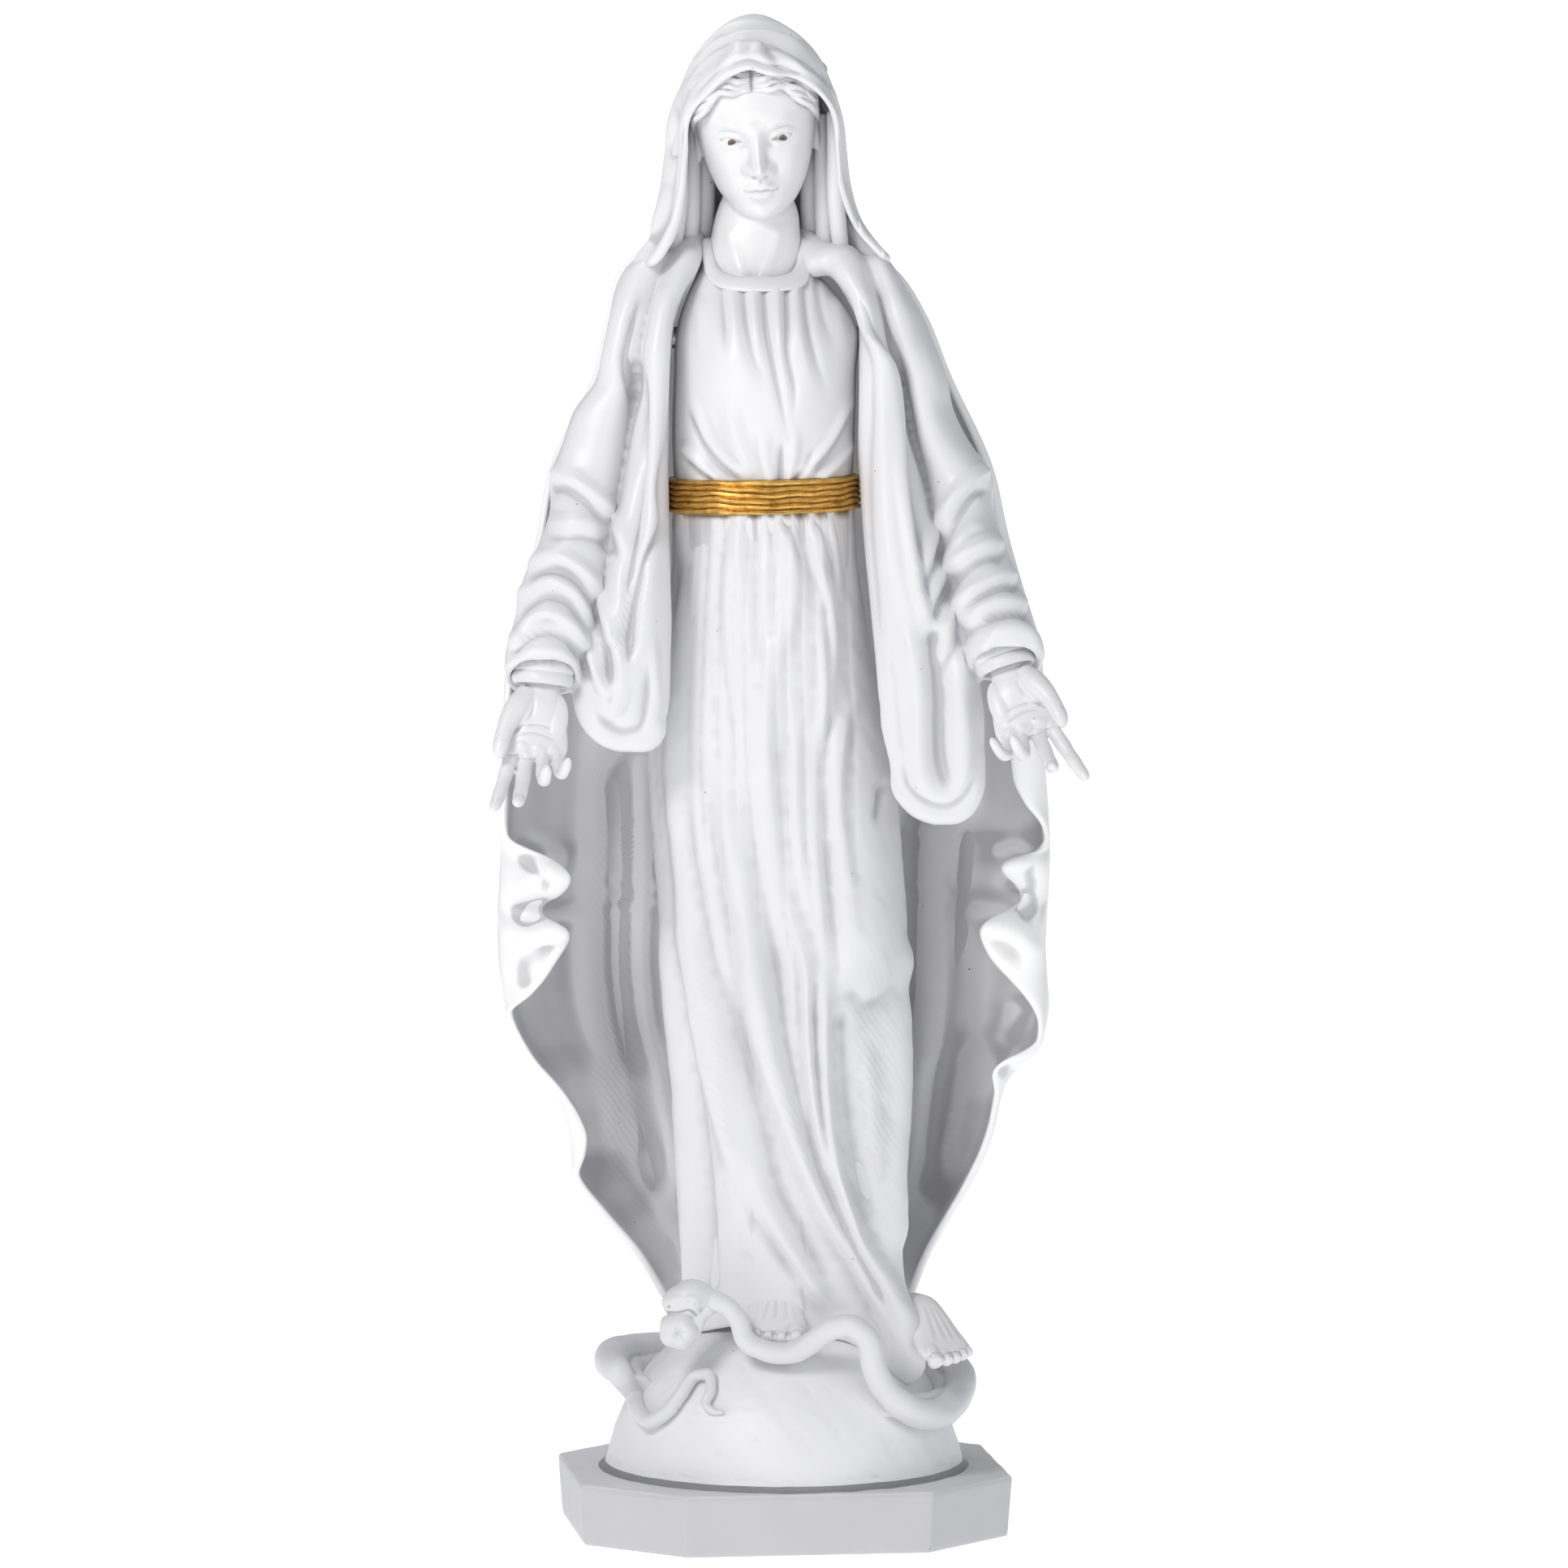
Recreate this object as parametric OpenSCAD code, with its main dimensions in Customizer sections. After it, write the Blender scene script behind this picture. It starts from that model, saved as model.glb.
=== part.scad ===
// Robed standing woman on a half globe with a serpent, life size.
// All sizes in millimetres, +Z up, front towards -Y, origin in the middle of the underside.

/* [Plinth] */
// Width of the eight-sided plinth, left to right
plinth_w = 517; // [420:1:620]
// Depth of the plinth, front to back
plinth_d = 464; // [380:1:560]
// Height of the plinth
plinth_h = 73; // [50:1:110]
// Length taken off each corner along both sides
plinth_cut = 111; // [60:1:150]
// Wall of the hollow plinth
plinth_wall = 18; // [10:1:30]
// Thickness of the plywood base board
board_t = 18; // [12:1:24]

/* [Globe] */
// Radius of the half globe
globe_r = 215; // [180:1:260]
// Height of the globe's centre above the floor
globe_z = 50; // [20:1:70]
// Wall of the globe shell
globe_wall = 12; // [8:1:20]

/* [Figure] */
// How far the figure is turned on the plinth, degrees
figure_turn = -7.5; // [-15:0.5:15]
// Wall of the gown
gown_wall = 8; // [5:1:14]
// Wall of the mantle
mantle_wall = 9; // [5:1:14]
// Height of the sash band
sash_h = 42; // [30:1:60]
// Height at which the sash begins
sash_z = 1209; // [1150:1:1260]
// Radius of the glass eyes
eye_r = 11; // [8:0.5:13]

/* [Serpent] */
// Radius of the serpent at its thickest
serpent_r = 23; // [16:1:28]
// Radius of the apple
apple_r = 24; // [15:1:30]

/* [Armature] */
// Outer radius of the spine tube
spine_r = 21; // [15:0.5:28]
// Wall of the spine tube
spine_wall = 3; // [2:0.5:5]
// Outer radius of the shoulder bar
bar_r = 13; // [9:0.5:16]
// Outer radius of the arm tubes
arm_r = 9; // [6:0.5:11]
// Radius of the steel peg of each hand
peg_r = 7; // [5:0.5:9]
// Length of each peg inside its socket
peg_l = 62; // [50:1:66]
// Running clearance between peg and socket
peg_gap = 0.05; // [0.02:0.01:0.1]
// Radius of the flange bolts
bolt_r = 5; // [4:0.5:6]
// Radius of the board screws
screw_r = 2.5; // [2:0.25:3.5]

/* [Hidden] */
$fn = 48;

sides = 28;            // points around a draped section
arc_n = 24;            // points along an open cape or hood section
white = [0.92, 0.92, 0.93];
steel = [0.55, 0.56, 0.58];

// ---------- functions ----------
// Smooth value of column c at height z in a table of rows [z, ...], lowest row first.
function seg(t, z, i = 0) = (i >= len(t) - 2 || z < t[i + 1][0]) ? i : seg(t, z, i + 1);
function slope(t, i, c) = i <= 0 ? (t[1][c] - t[0][c]) / (t[1][0] - t[0][0])
  : i >= len(t) - 1 ? (t[i][c] - t[i - 1][c]) / (t[i][0] - t[i - 1][0])
  : (t[i + 1][c] - t[i - 1][c]) / (t[i + 1][0] - t[i - 1][0]);
function at(t, z, c) = let (i = seg(t, z), h = t[i + 1][0] - t[i][0], u = min(1, max(0, (z - t[i][0]) / h)))
  t[i][c] * (1 - u * u * (3 - 2 * u)) + t[i + 1][c] * u * u * (3 - 2 * u)
  + h * u * (1 - u) * ((1 - u) * slope(t, i, c) - u * slope(t, i + 1, c));
function pw(v, e) = sign(v) * pow(abs(v), e);
// Height of the globe's surface at distance r from its axis.
function dome(r) = globe_z + sqrt(max(0, globe_r * globe_r - r * r));
// A place lying on the globe: x across, z up, r the radius of what lies there.
function on_globe(x, z, r) = [x, -sqrt(max(0, pow(globe_r + r + 1.5, 2) - x * x - pow(z - globe_z, 2))), z];
function unit(v) = v / norm(v);
function mix(a, b, u) = a * (1 - u) + b * u;

// ---------- closed meshes from rings ----------
// Solid from a stack of rings, each a convex level outline.
module loft(rings) {
  n = len(rings[0]);
  m = len(rings);
  polyhedron(points = [for (r = rings) for (p = r) p],
    faces = concat(
      [[for (i = [0:n - 1]) i]],
      [[for (i = [n - 1:-1:0]) (m - 1) * n + i]],
      [for (j = [0:m - 2]) for (i = [0:n - 1]) let (k = (i + 1) % n) [j * n + i, (j + 1) * n + i, (j + 1) * n + k]],
      [for (j = [0:m - 2]) for (i = [0:n - 1]) let (k = (i + 1) % n) [j * n + i, (j + 1) * n + k, j * n + k]]));
}
// Hollow wall, open at both ends: outer rings going up, then inner rings coming down.
module wall(outer, inner) {
  n = len(outer[0]);
  all = concat(outer, [for (j = [len(inner) - 1:-1:0]) inner[j]]);
  m = len(all);
  polyhedron(points = [for (r = all) for (p = r) p],
    faces = concat(
      [for (j = [0:m - 1]) for (i = [0:n - 1]) let (k = (i + 1) % n, q = (j + 1) % m) [j * n + i, q * n + i, q * n + k]],
      [for (j = [0:m - 1]) for (i = [0:n - 1]) let (k = (i + 1) % n, q = (j + 1) % m) [j * n + i, q * n + k, j * n + k]]));
}
// Hollow wall closed over its top and open below.
module thimble(outer, inner) {
  n = len(outer[0]);
  mo = len(outer);
  mi = len(inner);
  o = mo * n;
  polyhedron(points = concat([for (r = outer) for (p = r) p], [for (r = inner) for (p = r) p]),
    faces = concat(
      [for (j = [0:mo - 2]) for (i = [0:n - 1]) let (k = (i + 1) % n) for (f = [
        [j * n + i, (j + 1) * n + i, (j + 1) * n + k], [j * n + i, (j + 1) * n + k, j * n + k]]) f],
      [for (j = [0:mi - 2]) for (i = [0:n - 1]) let (k = (i + 1) % n) for (f = [
        [o + j * n + i, o + (j + 1) * n + k, o + (j + 1) * n + i], [o + j * n + i, o + j * n + k, o + (j + 1) * n + k]]) f],
      [[for (i = [n - 1:-1:0]) (mo - 1) * n + i]],
      [[for (i = [0:n - 1]) o + (mi - 1) * n + i]],
      [for (i = [0:n - 1]) let (k = (i + 1) % n) for (f = [[i, k, o + k], [i, o + k, o + i]]) f]));
}
// Cloth with thickness: two grids of the same size joined along their four edges.
module cloth(outer, inner) {
  rows = len(outer);
  n = len(outer[0]);
  o = rows * n;
  top = (rows - 1) * n;
  e = n - 1;
  polyhedron(points = concat([for (r = outer) for (p = r) p], [for (r = inner) for (p = r) p]),
    faces = concat(
      [for (j = [0:rows - 2]) for (i = [0:n - 2]) let (a = j * n + i, b = a + n) for (f = [
        [a, b + 1, b], [a, a + 1, b + 1], [o + a, o + b, o + b + 1], [o + a, o + b + 1, o + a + 1]]) f],
      [for (i = [0:n - 2]) for (f = [[i, o + i + 1, i + 1], [i, o + i, o + i + 1],
        [top + i, top + i + 1, o + top + i + 1], [top + i, o + top + i + 1, o + top + i]]) f],
      [for (j = [0:rows - 2]) let (a = j * n, b = a + n) for (f = [[a, o + b, o + a], [a, b, o + b],
        [a + e, o + a + e, o + b + e], [a + e, o + b + e, b + e]]) f]));
}
// Round body swept along points p with a radius for each; both ends closed.
module sweep(p, rad, n = 10, flat = 1) {
  m = len(p);
  loft([for (j = [0:m - 1]) let (
    d = unit(p[min(j + 1, m - 1)] - p[max(j - 1, 0)]),
    s = unit(cross(d, abs(d[2]) > 0.95 ? [0, 1, 0] : [0, 0, 1])),
    u = cross(d, s))
    [for (i = [0:n - 1]) p[j] + rad[j] * (cos(360 * i / n) * s + flat * sin(360 * i / n) * u)]]);
}
// Turns +Z onto direction d at point p.
module along(p, d) {
  translate(p) rotate([0, acos(d[2] / norm(d)), atan2(d[1], d[0])]) children();
}
module tube(r, w, h) {
  difference() {
    cylinder(r = r, h = h);
    translate([0, 0, -1]) cylinder(r = r - w, h = h + 2);
  }
}
// Everything that turns with the figure.
module figure() { rotate([0, 0, figure_turn]) children(); }

// ---------- base ----------
function eight(w, d, c) = [[-w / 2 + c, -d / 2], [w / 2 - c, -d / 2], [w / 2, -d / 2 + c], [w / 2, d / 2 - c],
  [w / 2 - c, d / 2], [-w / 2 + c, d / 2], [-w / 2, d / 2 - c], [-w / 2, -d / 2 + c]];
// Corner cut of an outline set in by s, which keeps the slanted wall as thick as the others.
function cut_in(s) = plinth_cut - s * (2 - sqrt(2));
board_gap = 1;         // air around the base board
hub_r = spine_r + 9;   // collar of the spine flange
hub_hole = hub_r + 5;
flange_r = hub_r + 42;
flange_t = 10;
bolt_ring = hub_r + 24;
boss = 44;             // corner blocks inside the plinth that take the screws
boss_in = 50;          // how far the blocks stand in from the walls
boss_x = plinth_w / 2 - plinth_wall - boss / 2 - boss_in;
boss_y = plinth_d / 2 - plinth_wall - boss / 2 - boss_in;
board_top = board_t;
head_t = 5;            // bolt head let into the board
screw_head_t = 3;      // screw head let into the board
screw_in = 20;         // screw length held in the corner block
hub_h = 58;            // height of the flange collar

module plinth() {
  color(white) difference() {
    linear_extrude(plinth_h) polygon(eight(plinth_w, plinth_d, plinth_cut));
    difference() {
      translate([0, 0, -1]) linear_extrude(plinth_h - plinth_wall + 1)
        polygon(eight(plinth_w - 2 * plinth_wall, plinth_d - 2 * plinth_wall, cut_in(plinth_wall)));
      for (x = [-boss_x, boss_x]) for (y = [-boss_y, boss_y])
        translate([x - boss / 2, y - boss / 2, board_top]) cube([boss, boss, plinth_h]);
    }
    translate([0, 0, plinth_h - plinth_wall - 1]) cylinder(r = hub_hole, h = plinth_wall + 2);
    for (x = [-boss_x, boss_x]) for (y = [-boss_y, boss_y])
      translate([x, y, board_top - 1]) cylinder(r = screw_r + 0.1, h = screw_in + 3, $fn = 24);
  }
}
module base_board() {
  s = plinth_wall + board_gap;
  color([0.72, 0.55, 0.36]) difference() {
    linear_extrude(board_t)
      polygon(eight(plinth_w - 2 * s, plinth_d - 2 * s, cut_in(s)));
    for (x = [-boss_x, boss_x]) for (y = [-boss_y, boss_y]) {
      translate([x, y, -1]) cylinder(r = screw_r + 0.3, h = board_t + 2, $fn = 24);
      translate([x, y, -1]) cylinder(r = 2 * screw_r + 0.5, h = screw_head_t + 1, $fn = 24);
    }
    for (a = [45:90:315]) rotate([0, 0, a]) translate([bolt_ring, 0, 0]) {
      translate([0, 0, -1]) cylinder(r = bolt_r + 0.4, h = board_t + 2, $fn = 24);
      translate([0, 0, -1]) cylinder(r = 2 * bolt_r + 0.5, h = head_t + 1);
    }
  }
}
module board_screws() {
  color([0.78, 0.68, 0.42]) for (x = [-boss_x, boss_x]) for (y = [-boss_y, boss_y]) translate([x, y, 0]) {
    cylinder(r = 2 * screw_r, h = screw_head_t, $fn = 24);
    cylinder(r = screw_r, h = board_t + screw_in, $fn = 24);
  }
}
module spine_flange() {
  color(steel) difference() {
    union() {
      translate([0, 0, board_top]) cylinder(r = flange_r, h = flange_t);
      translate([0, 0, board_top]) cylinder(r = hub_r, h = hub_h);
    }
    translate([0, 0, board_top + 6]) cylinder(r = spine_r + 0.1, h = 80);
    for (a = [45:90:315]) rotate([0, 0, a]) translate([bolt_ring, 0, board_top - 1]) cylinder(r = bolt_r + 0.4, h = flange_t + 2, $fn = 24);
  }
}
module flange_bolts() {
  color(steel) for (a = [45:90:315]) rotate([0, 0, a]) translate([bolt_ring, 0, 0]) {
    cylinder(r = 2 * bolt_r, h = head_t);
    cylinder(r = bolt_r, h = board_t + flange_t + 14, $fn = 24);
  }
}
module flange_nuts() {
  color(steel) for (a = [45:90:315]) rotate([0, 0, a]) translate([bolt_ring, 0, board_top + flange_t]) difference() {
    cylinder(r = 1.9 * bolt_r, h = 1.6 * bolt_r, $fn = 6);
    translate([0, 0, -1]) cylinder(r = bolt_r + 0.05, h = 2 * bolt_r + 2, $fn = 24);
  }
}
foot_fillet = 10;      // small cove where the globe meets the plinth
module globe() {
  foot_x = sqrt(pow(globe_r, 2) - pow(plinth_h + foot_fillet - globe_z, 2));
  top_a = acos(hub_r / globe_r);
  inner = globe_r - globe_wall;
  step = 4;
  a0 = asin((plinth_h + foot_fillet - globe_z) / globe_r);
  b0 = asin((plinth_h - globe_z) / inner);
  color(white) rotate_extrude($fn = 96) polygon(concat(
    [[sqrt(pow(inner, 2) - pow(plinth_h - globe_z, 2)), plinth_h], [foot_x + 6, plinth_h], [foot_x + 1.5, plinth_h + 3]],
    [for (k = [0:24]) let (a = mix(a0, top_a, k / 24)) globe_r * [cos(a), sin(a)] + [0, globe_z]],
    [for (k = [24:-1:1]) let (a = mix(b0, acos(hub_r / inner), k / 24)) inner * [cos(a), sin(a)] + [0, globe_z]]));
}

// ---------- gown ----------
// Rows: height, middle across, middle fore and aft, half width, half depth.
skirt_rows = [
  [230, 12, 0, 124, 100], [300, 12, 0, 127, 104], [400, 12, 0, 134, 113], [520, 11, 0, 141, 122],
  [650, 3, 0, 147, 121], [800, -6, 0, 150, 118], [950, -18, 0, 146, 112], [1080, -22, 0, 124, 102],
  [1160, -23, 0, 110, 92], [1208, -24, 0, 108, 84]];
bodice_rows = [
  [1252, -24, 0, 106, 82], [1300, -24, -2, 108, 92], [1380, -22, -5, 108, 102], [1440, -20, -4, 106, 97],
  [1490, -26, 0, 84, 76], [1512, -32, 3, 64, 60]];
train_t = 312;         // direction of the trailing corner of the hem, degrees
train_reach = 50;      // how far it runs out over the globe
foot_arch = 286;       // height of the hem above the forward foot
function skirt_point(t, u, off) = let (
    far = train_reach * max(0, 1 - pow(min(180, abs(t - train_t)) / 26, 2)) * pow(1 - u, 4),
    low = [at(skirt_rows, 300, 1), at(skirt_rows, 300, 2), at(skirt_rows, 300, 3) - off, at(skirt_rows, 300, 4) - off],
    foot = [low[0] + (low[2] + train_reach * max(0, 1 - pow((t - train_t) / 26, 2))) * cos(t),
            low[1] + (low[3] + train_reach * max(0, 1 - pow((t - train_t) / 26, 2))) * sin(t)],
    arch = foot_arch * max(0, 1 - pow((t - 262) / 46, 4)),
    z0 = max(dome(norm(foot)) + 9, arch),
    z = mix(z0, sash_z - 1, u))
  [at(skirt_rows, z, 1) + (at(skirt_rows, z, 3) + far - off) * cos(t),
   at(skirt_rows, z, 2) + (at(skirt_rows, z, 4) + far - off) * sin(t), z];
function skirt_ring(u, off) = [for (i = [0:sides - 1]) skirt_point(360 * i / sides, u, off)];
function body_ring(rows, z, off, n) = [for (i = [0:n - 1]) let (t = 360 * i / n)
  [at(rows, z, 1) + (at(rows, z, 3) - off) * cos(t), at(rows, z, 2) + (at(rows, z, 4) - off) * sin(t), z]];
module gown_skirt() {
  us = [for (k = [0:14]) pow(k / 14, 1.3)];
  color(white) figure() wall([for (u = us) skirt_ring(u, 0)], [for (u = us) skirt_ring(u, gown_wall)]);
}
module gown_bodice() {
  zs = [for (k = [0:10]) mix(sash_z + sash_h + 1, 1512, k / 10)];
  color(white) figure() wall([for (z = zs) body_ring(bodice_rows, z, 0, sides)],
    [for (z = zs) body_ring(bodice_rows, z, gown_wall, sides)]);
}
module sash() {
  zs = [for (k = [0:5]) mix(sash_z, sash_z + sash_h, k / 5)];
  row = bodice_rows[0];
  function belt(z, off) = [for (i = [0:sides - 1]) let (t = 360 * i / sides)
    [row[1] + (row[3] + 4 - off) * cos(t), row[2] + (row[4] + 4 - off) * sin(t), z]];
  color([0.80, 0.58, 0.20]) figure() wall([for (z = zs) belt(z, 0)], [for (z = zs) belt(z, gown_wall)]);
}
module neckband() {
  color(white) figure() wall([for (k = [0:3]) body_ring([[1513, -32, 2, 68, 62], [1530, -34, 4, 61, 57]], 1513 + k * 5.6, 0, sides)],
    [for (k = [0:3]) body_ring([[1513, -32, 2, 68, 62], [1530, -34, 4, 61, 57]], 1513 + k * 5.6, 7, sides)]);
}

// ---------- head ----------
head_x = -37;
head_rows = [
  [1470, -34, 8, 42, 40], [1520, -34, 8, 47, 45], [1552, -36, 2, 48, 50], [1566, -37, -14, 50, 68],
  [1590, -37, -16, 60, 80], [1630, -38, -12, 68, 84], [1680, -39, -8, 72, 86], [1725, -40, -3, 64, 76],
  [1744, -41, 0, 44, 50], [1754, -41, 0, 18, 20]];
eye_z = 1671;
eye_dx = 31;
eye_y = -81;
module head() {
  zs = concat([1470, 1495], [for (k = [0:18]) mix(1520, 1754, k / 18)]);
  color(white) figure() difference() {
    loft([for (z = zs) body_ring(head_rows, z, 0, sides)]);
    for (s = [-1, 1]) translate([head_x - 1 + s * eye_dx, eye_y, eye_z]) sphere(r = eye_r + 0.3, $fn = 32);
    translate([head_x + 2, 8, 1460]) cylinder(r = neck_rod_r + 0.3, h = 91);
  }
}
module eye(s) { color([0.95, 0.95, 0.95]) figure() translate([head_x - 1 + s * eye_dx, eye_y, eye_z]) sphere(r = eye_r, $fn = 32); }
module eye_right() { eye(-1); }
module eye_left() { eye(1); }

// Hood: arches from front to back that close on a point behind the head.
// q: [middle x, front y, back y, foot z, half width, crown z], thickness off.
function arch(q, f, off) = let (s = pow(max(0, cos(f)), 0.45), w = (q[4] - off) * s, h = (q[5] - off - q[3]) * s)
  [for (i = [0:arc_n]) let (t = 180 * i / arc_n)
    [q[0] + w * pw(cos(t), 0.75), mix(q[1], q[2] - off, sin(f)), q[3] + h * pw(sin(t), 0.72)]];
module hood(q, off) {
  fs = [0, 10, 20, 30, 40, 50, 60, 69, 77, 84, 90];
  cloth([for (f = fs) arch(q, f, 0)], [for (f = fs) arch(q, f, off)]);
}
module veil() { color(white) figure() hood([head_x - 3, -70, 138, 1536, 108, 1800], 10); }
module hair() { color(white) figure() hood([head_x - 3, -62, 100, 1650, 84, 1772], 6); }

// ---------- arms ----------
// Wrist, direction of the hand and elbow on each side; index 0 is her right arm.
wrist = [[-284, -152, 1026], [263, -150, 1044]];
reach = [unit([-0.09, -0.36, -0.93]), unit([0.28, -0.46, -0.84])];
elbow = [[-236, -8, 1236], [213, -8, 1236]];
shoulder = [[-186, 0, 1425], [149, 0, 1425]];
bar_z = 1425;
tee = 58;
socket_l = peg_l + 8;
socket_back = [for (k = [0, 1]) wrist[k] - reach[k] * (socket_l + 6)];
neck_rod_r = 8;

module spine_tube() {
  color(steel) translate([0, 0, board_top + 6.5]) tube(spine_r, spine_wall, bar_z - 25 - board_top - 6.5);
}
module shoulder_tee() {
  color(steel) figure() difference() {
    translate([-tee / 2, -tee / 2, bar_z - tee]) cube([tee, tee, tee + bar_r + 14]);
    translate([0, 0, bar_z - tee - 1]) cylinder(r = spine_r + 0.1, h = tee - 23);
    translate([-tee, 0, bar_z]) rotate([0, 90, 0]) cylinder(r = bar_r + 0.1, h = 2 * tee);
  }
}
module shoulder_bar() {
  color(steel) figure() translate([shoulder[0][0] + 12, 0, bar_z]) rotate([0, 90, 0]) tube(bar_r, 2.5, shoulder[1][0] - shoulder[0][0] - 24);
}
module neck_rod() {
  base = bar_z + bar_r + 14;
  color(steel) figure() translate([head_x + 2, 8, 0]) union() {
    translate([0, 0, base]) cylinder(r = neck_rod_r, h = 1550 - base);
    translate([-neck_rod_r, -neck_rod_r, base]) cube([45, 2 * neck_rod_r, 8]);
  }
}
module arm_tube(k) {
  a = shoulder[k];
  e = elbow[k];
  b = socket_back[k];
  color(steel) figure() union() {
    translate(a) rotate([0, 90, 0]) translate([0, 0, -11.5]) cylinder(r = bar_r + 2, h = 23);
    along(a, e - a) cylinder(r = arm_r, h = norm(e - a));
    translate(e) sphere(r = arm_r + 2);
    along(e, b - e) cylinder(r = arm_r, h = norm(b - e) - arm_r * 0.9);
    along(b - reach[k] * 14, reach[k]) cylinder(r = arm_r + 1, h = 14);
  }
}
module arm_tube_right() { arm_tube(0); }
module arm_tube_left() { arm_tube(1); }
module hand_socket(k) {
  color([0.72, 0.60, 0.32]) figure() along(socket_back[k], reach[k]) difference() {
    cylinder(r = peg_r + 5, h = socket_l);
    translate([0, 0, 5]) cylinder(r = peg_r + peg_gap, h = socket_l);
  }
}
module hand_socket_right() { hand_socket(0); }
module hand_socket_left() { hand_socket(1); }
module hand_peg(k) {
  color(steel) figure() along(wrist[k] - reach[k] * (peg_l + 5), reach[k]) cylinder(r = peg_r, h = peg_l + 5 + 18);
}
module hand_peg_right() { hand_peg(0); }
module hand_peg_left() { hand_peg(1); }

// Hand in its own frame: +X towards the little finger of her right hand, -Y palm side, -Z down the fingers.
finger_x = [-26, -9, 9, 25];
finger_l = [[44, 27, 21], [47, 30, 22], [44, 28, 21], [36, 22, 18]];
finger_r = [9.2, 9.4, 8.8, 7.8];
curl = [[[8, 14, 18], [14, 24, 28], [30, 46, 40], [34, 52, 44]], [[4, 8, 10], [16, 26, 28], [32, 52, 44], [34, 56, 48]]];
spread = [[10, 3, -5, -12], [14, 4, -6, -14]];
function finger_path(k, f) = let (l = finger_l[f], c = curl[k][f], s = -spread[k][f],
    p0 = [finger_x[f], 0, -84], a1 = c[0], a2 = a1 + c[1], a3 = a2 + c[2],
    d = function (a) [sin(s), -sin(a), -cos(a)],
    p1 = p0 + l[0] * d(a1), p2 = p1 + l[1] * d(a2), p3 = p2 + l[2] * d(a3))
  [p0, mix(p0, p1, 0.5), p1, mix(p1, p2, 0.5), p2, mix(p2, p3, 0.6), p3];
module hand(k) {
  s = k == 0 ? 1 : -1;
  palm = [[0, 0, 0, 21, 16], [-14, 0, 0, 23, 17], [-34, -2, -2, 31, 17], [-58, -2, -1, 37, 15], [-80, 0, 0, 38, 13], [-92, 0, 1, 35, 11]];
  thumb = [[-24, -4, -26], [-38, -13, -46], [-50, -22, -68], [-56, -27, -86], [-58, -28, -100]];
  x0 = unit(cross([0, 1, 0], -reach[k]));
  y0 = cross(-reach[k], x0);
  color(white) figure() translate(wrist[k]) multmatrix([for (r = [0:2]) [x0[r] * s, y0[r], -reach[k][r], 0]]) difference() {
    union() {
      loft([for (j = [5:-1:0]) let (q = palm[j]) [for (i = [0:17]) [q[1] + q[3] * pw(cos(20 * i), 0.85), q[2] + q[4] * pw(sin(20 * i), 0.85), q[0]]]]);
      for (f = [0:3]) sweep(finger_path(k, f), [for (w = [0.96, 1, 1, 0.97, 0.94, 0.88, 0.5]) w * finger_r[f]], 10);
      sweep(thumb, [14, 12.5, 11, 10, 5], 10);
    }
    translate([0, 0, -18.05]) cylinder(r = peg_r + 0.05, h = 40);
  }
}
module hand_right() { hand(0); }
module hand_left() { hand(1); }

// Draped sleeve: level sections; rows: height, outer x, inner x, front y, back y.
sleeve_rows = [
  [[1036, -328, -240, -190, -108], [1060, -328, -236, -188, -96], [1105, -316, -224, -168, -66], [1144, -307, -214, -150, -36],
   [1183, -290, -205, -132, -4], [1222, -277, -196, -108, 30], [1262, -277, -188, -92, 58], [1300, -262, -182, -84, 66],
   [1340, -248, -176, -80, 70], [1375, -222, -170, -76, 72], [1413, -214, -164, -72, 72], [1452, -206, -158, -64, 70],
   [1490, -197, -148, -54, 66]],
  [[1052, 218, 308, -188, -108], [1075, 214, 302, -186, -96], [1105, 205, 291, -170, -70], [1144, 196, 277, -152, -40],
   [1183, 186, 262, -134, -6], [1222, 176, 249, -108, 30], [1262, 166, 248, -92, 58], [1300, 156, 222, -84, 66],
   [1340, 146, 201, -80, 70], [1375, 138, 195, -76, 72], [1413, 128, 181, -72, 72], [1452, 118, 163, -64, 70],
   [1490, 110, 142, -54, 66], [1512, 104, 130, -40, 56], [1526, 102, 118, -20, 44]]];
sleeve_top = 1526;
function sleeve_ring(rows, z, off) = let (xa = at(rows, z, 1), xb = at(rows, z, 2), ya = at(rows, z, 3), yb = at(rows, z, 4))
  [for (i = [0:sides - 1]) let (t = 360 * i / sides)
    [(xa + xb) / 2 + (abs(xb - xa) / 2 - off) * pw(cos(t), 0.85), (ya + yb) / 2 + (abs(yb - ya) / 2 - off) * pw(sin(t), 0.85), z]];
module sleeve(k) {
  rows = sleeve_rows[k];
  z0 = rows[0][0];
  zs = [for (j = [0:18]) mix(z0, sleeve_top, j / 18)];
  color(white) figure() thimble([for (z = zs) sleeve_ring(rows, z, 0)],
    [for (j = [0:17]) sleeve_ring(rows, mix(z0, sleeve_top - mantle_wall, j / 17), mantle_wall)]);
}
module sleeve_right() { sleeve(0); }
module sleeve_left() { sleeve(1); }
module cuff(k) {
  rows = sleeve_rows[k];
  z0 = rows[0][0];
  zs = [z0 - 8, z0, z0 + 14, z0 + 30];
  inset = mantle_wall + 2.5;
  color(white) figure() wall([for (z = zs) sleeve_ring(rows, max(z, z0), inset) + [for (i = [0:sides - 1]) [0, 0, min(0, z - z0)]]],
    [for (z = zs) sleeve_ring(rows, max(z, z0), inset + 5) + [for (i = [0:sides - 1]) [0, 0, min(0, z - z0)]]]);
}
module cuff_right() { cuff(0); }
module cuff_left() { cuff(1); }

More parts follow.
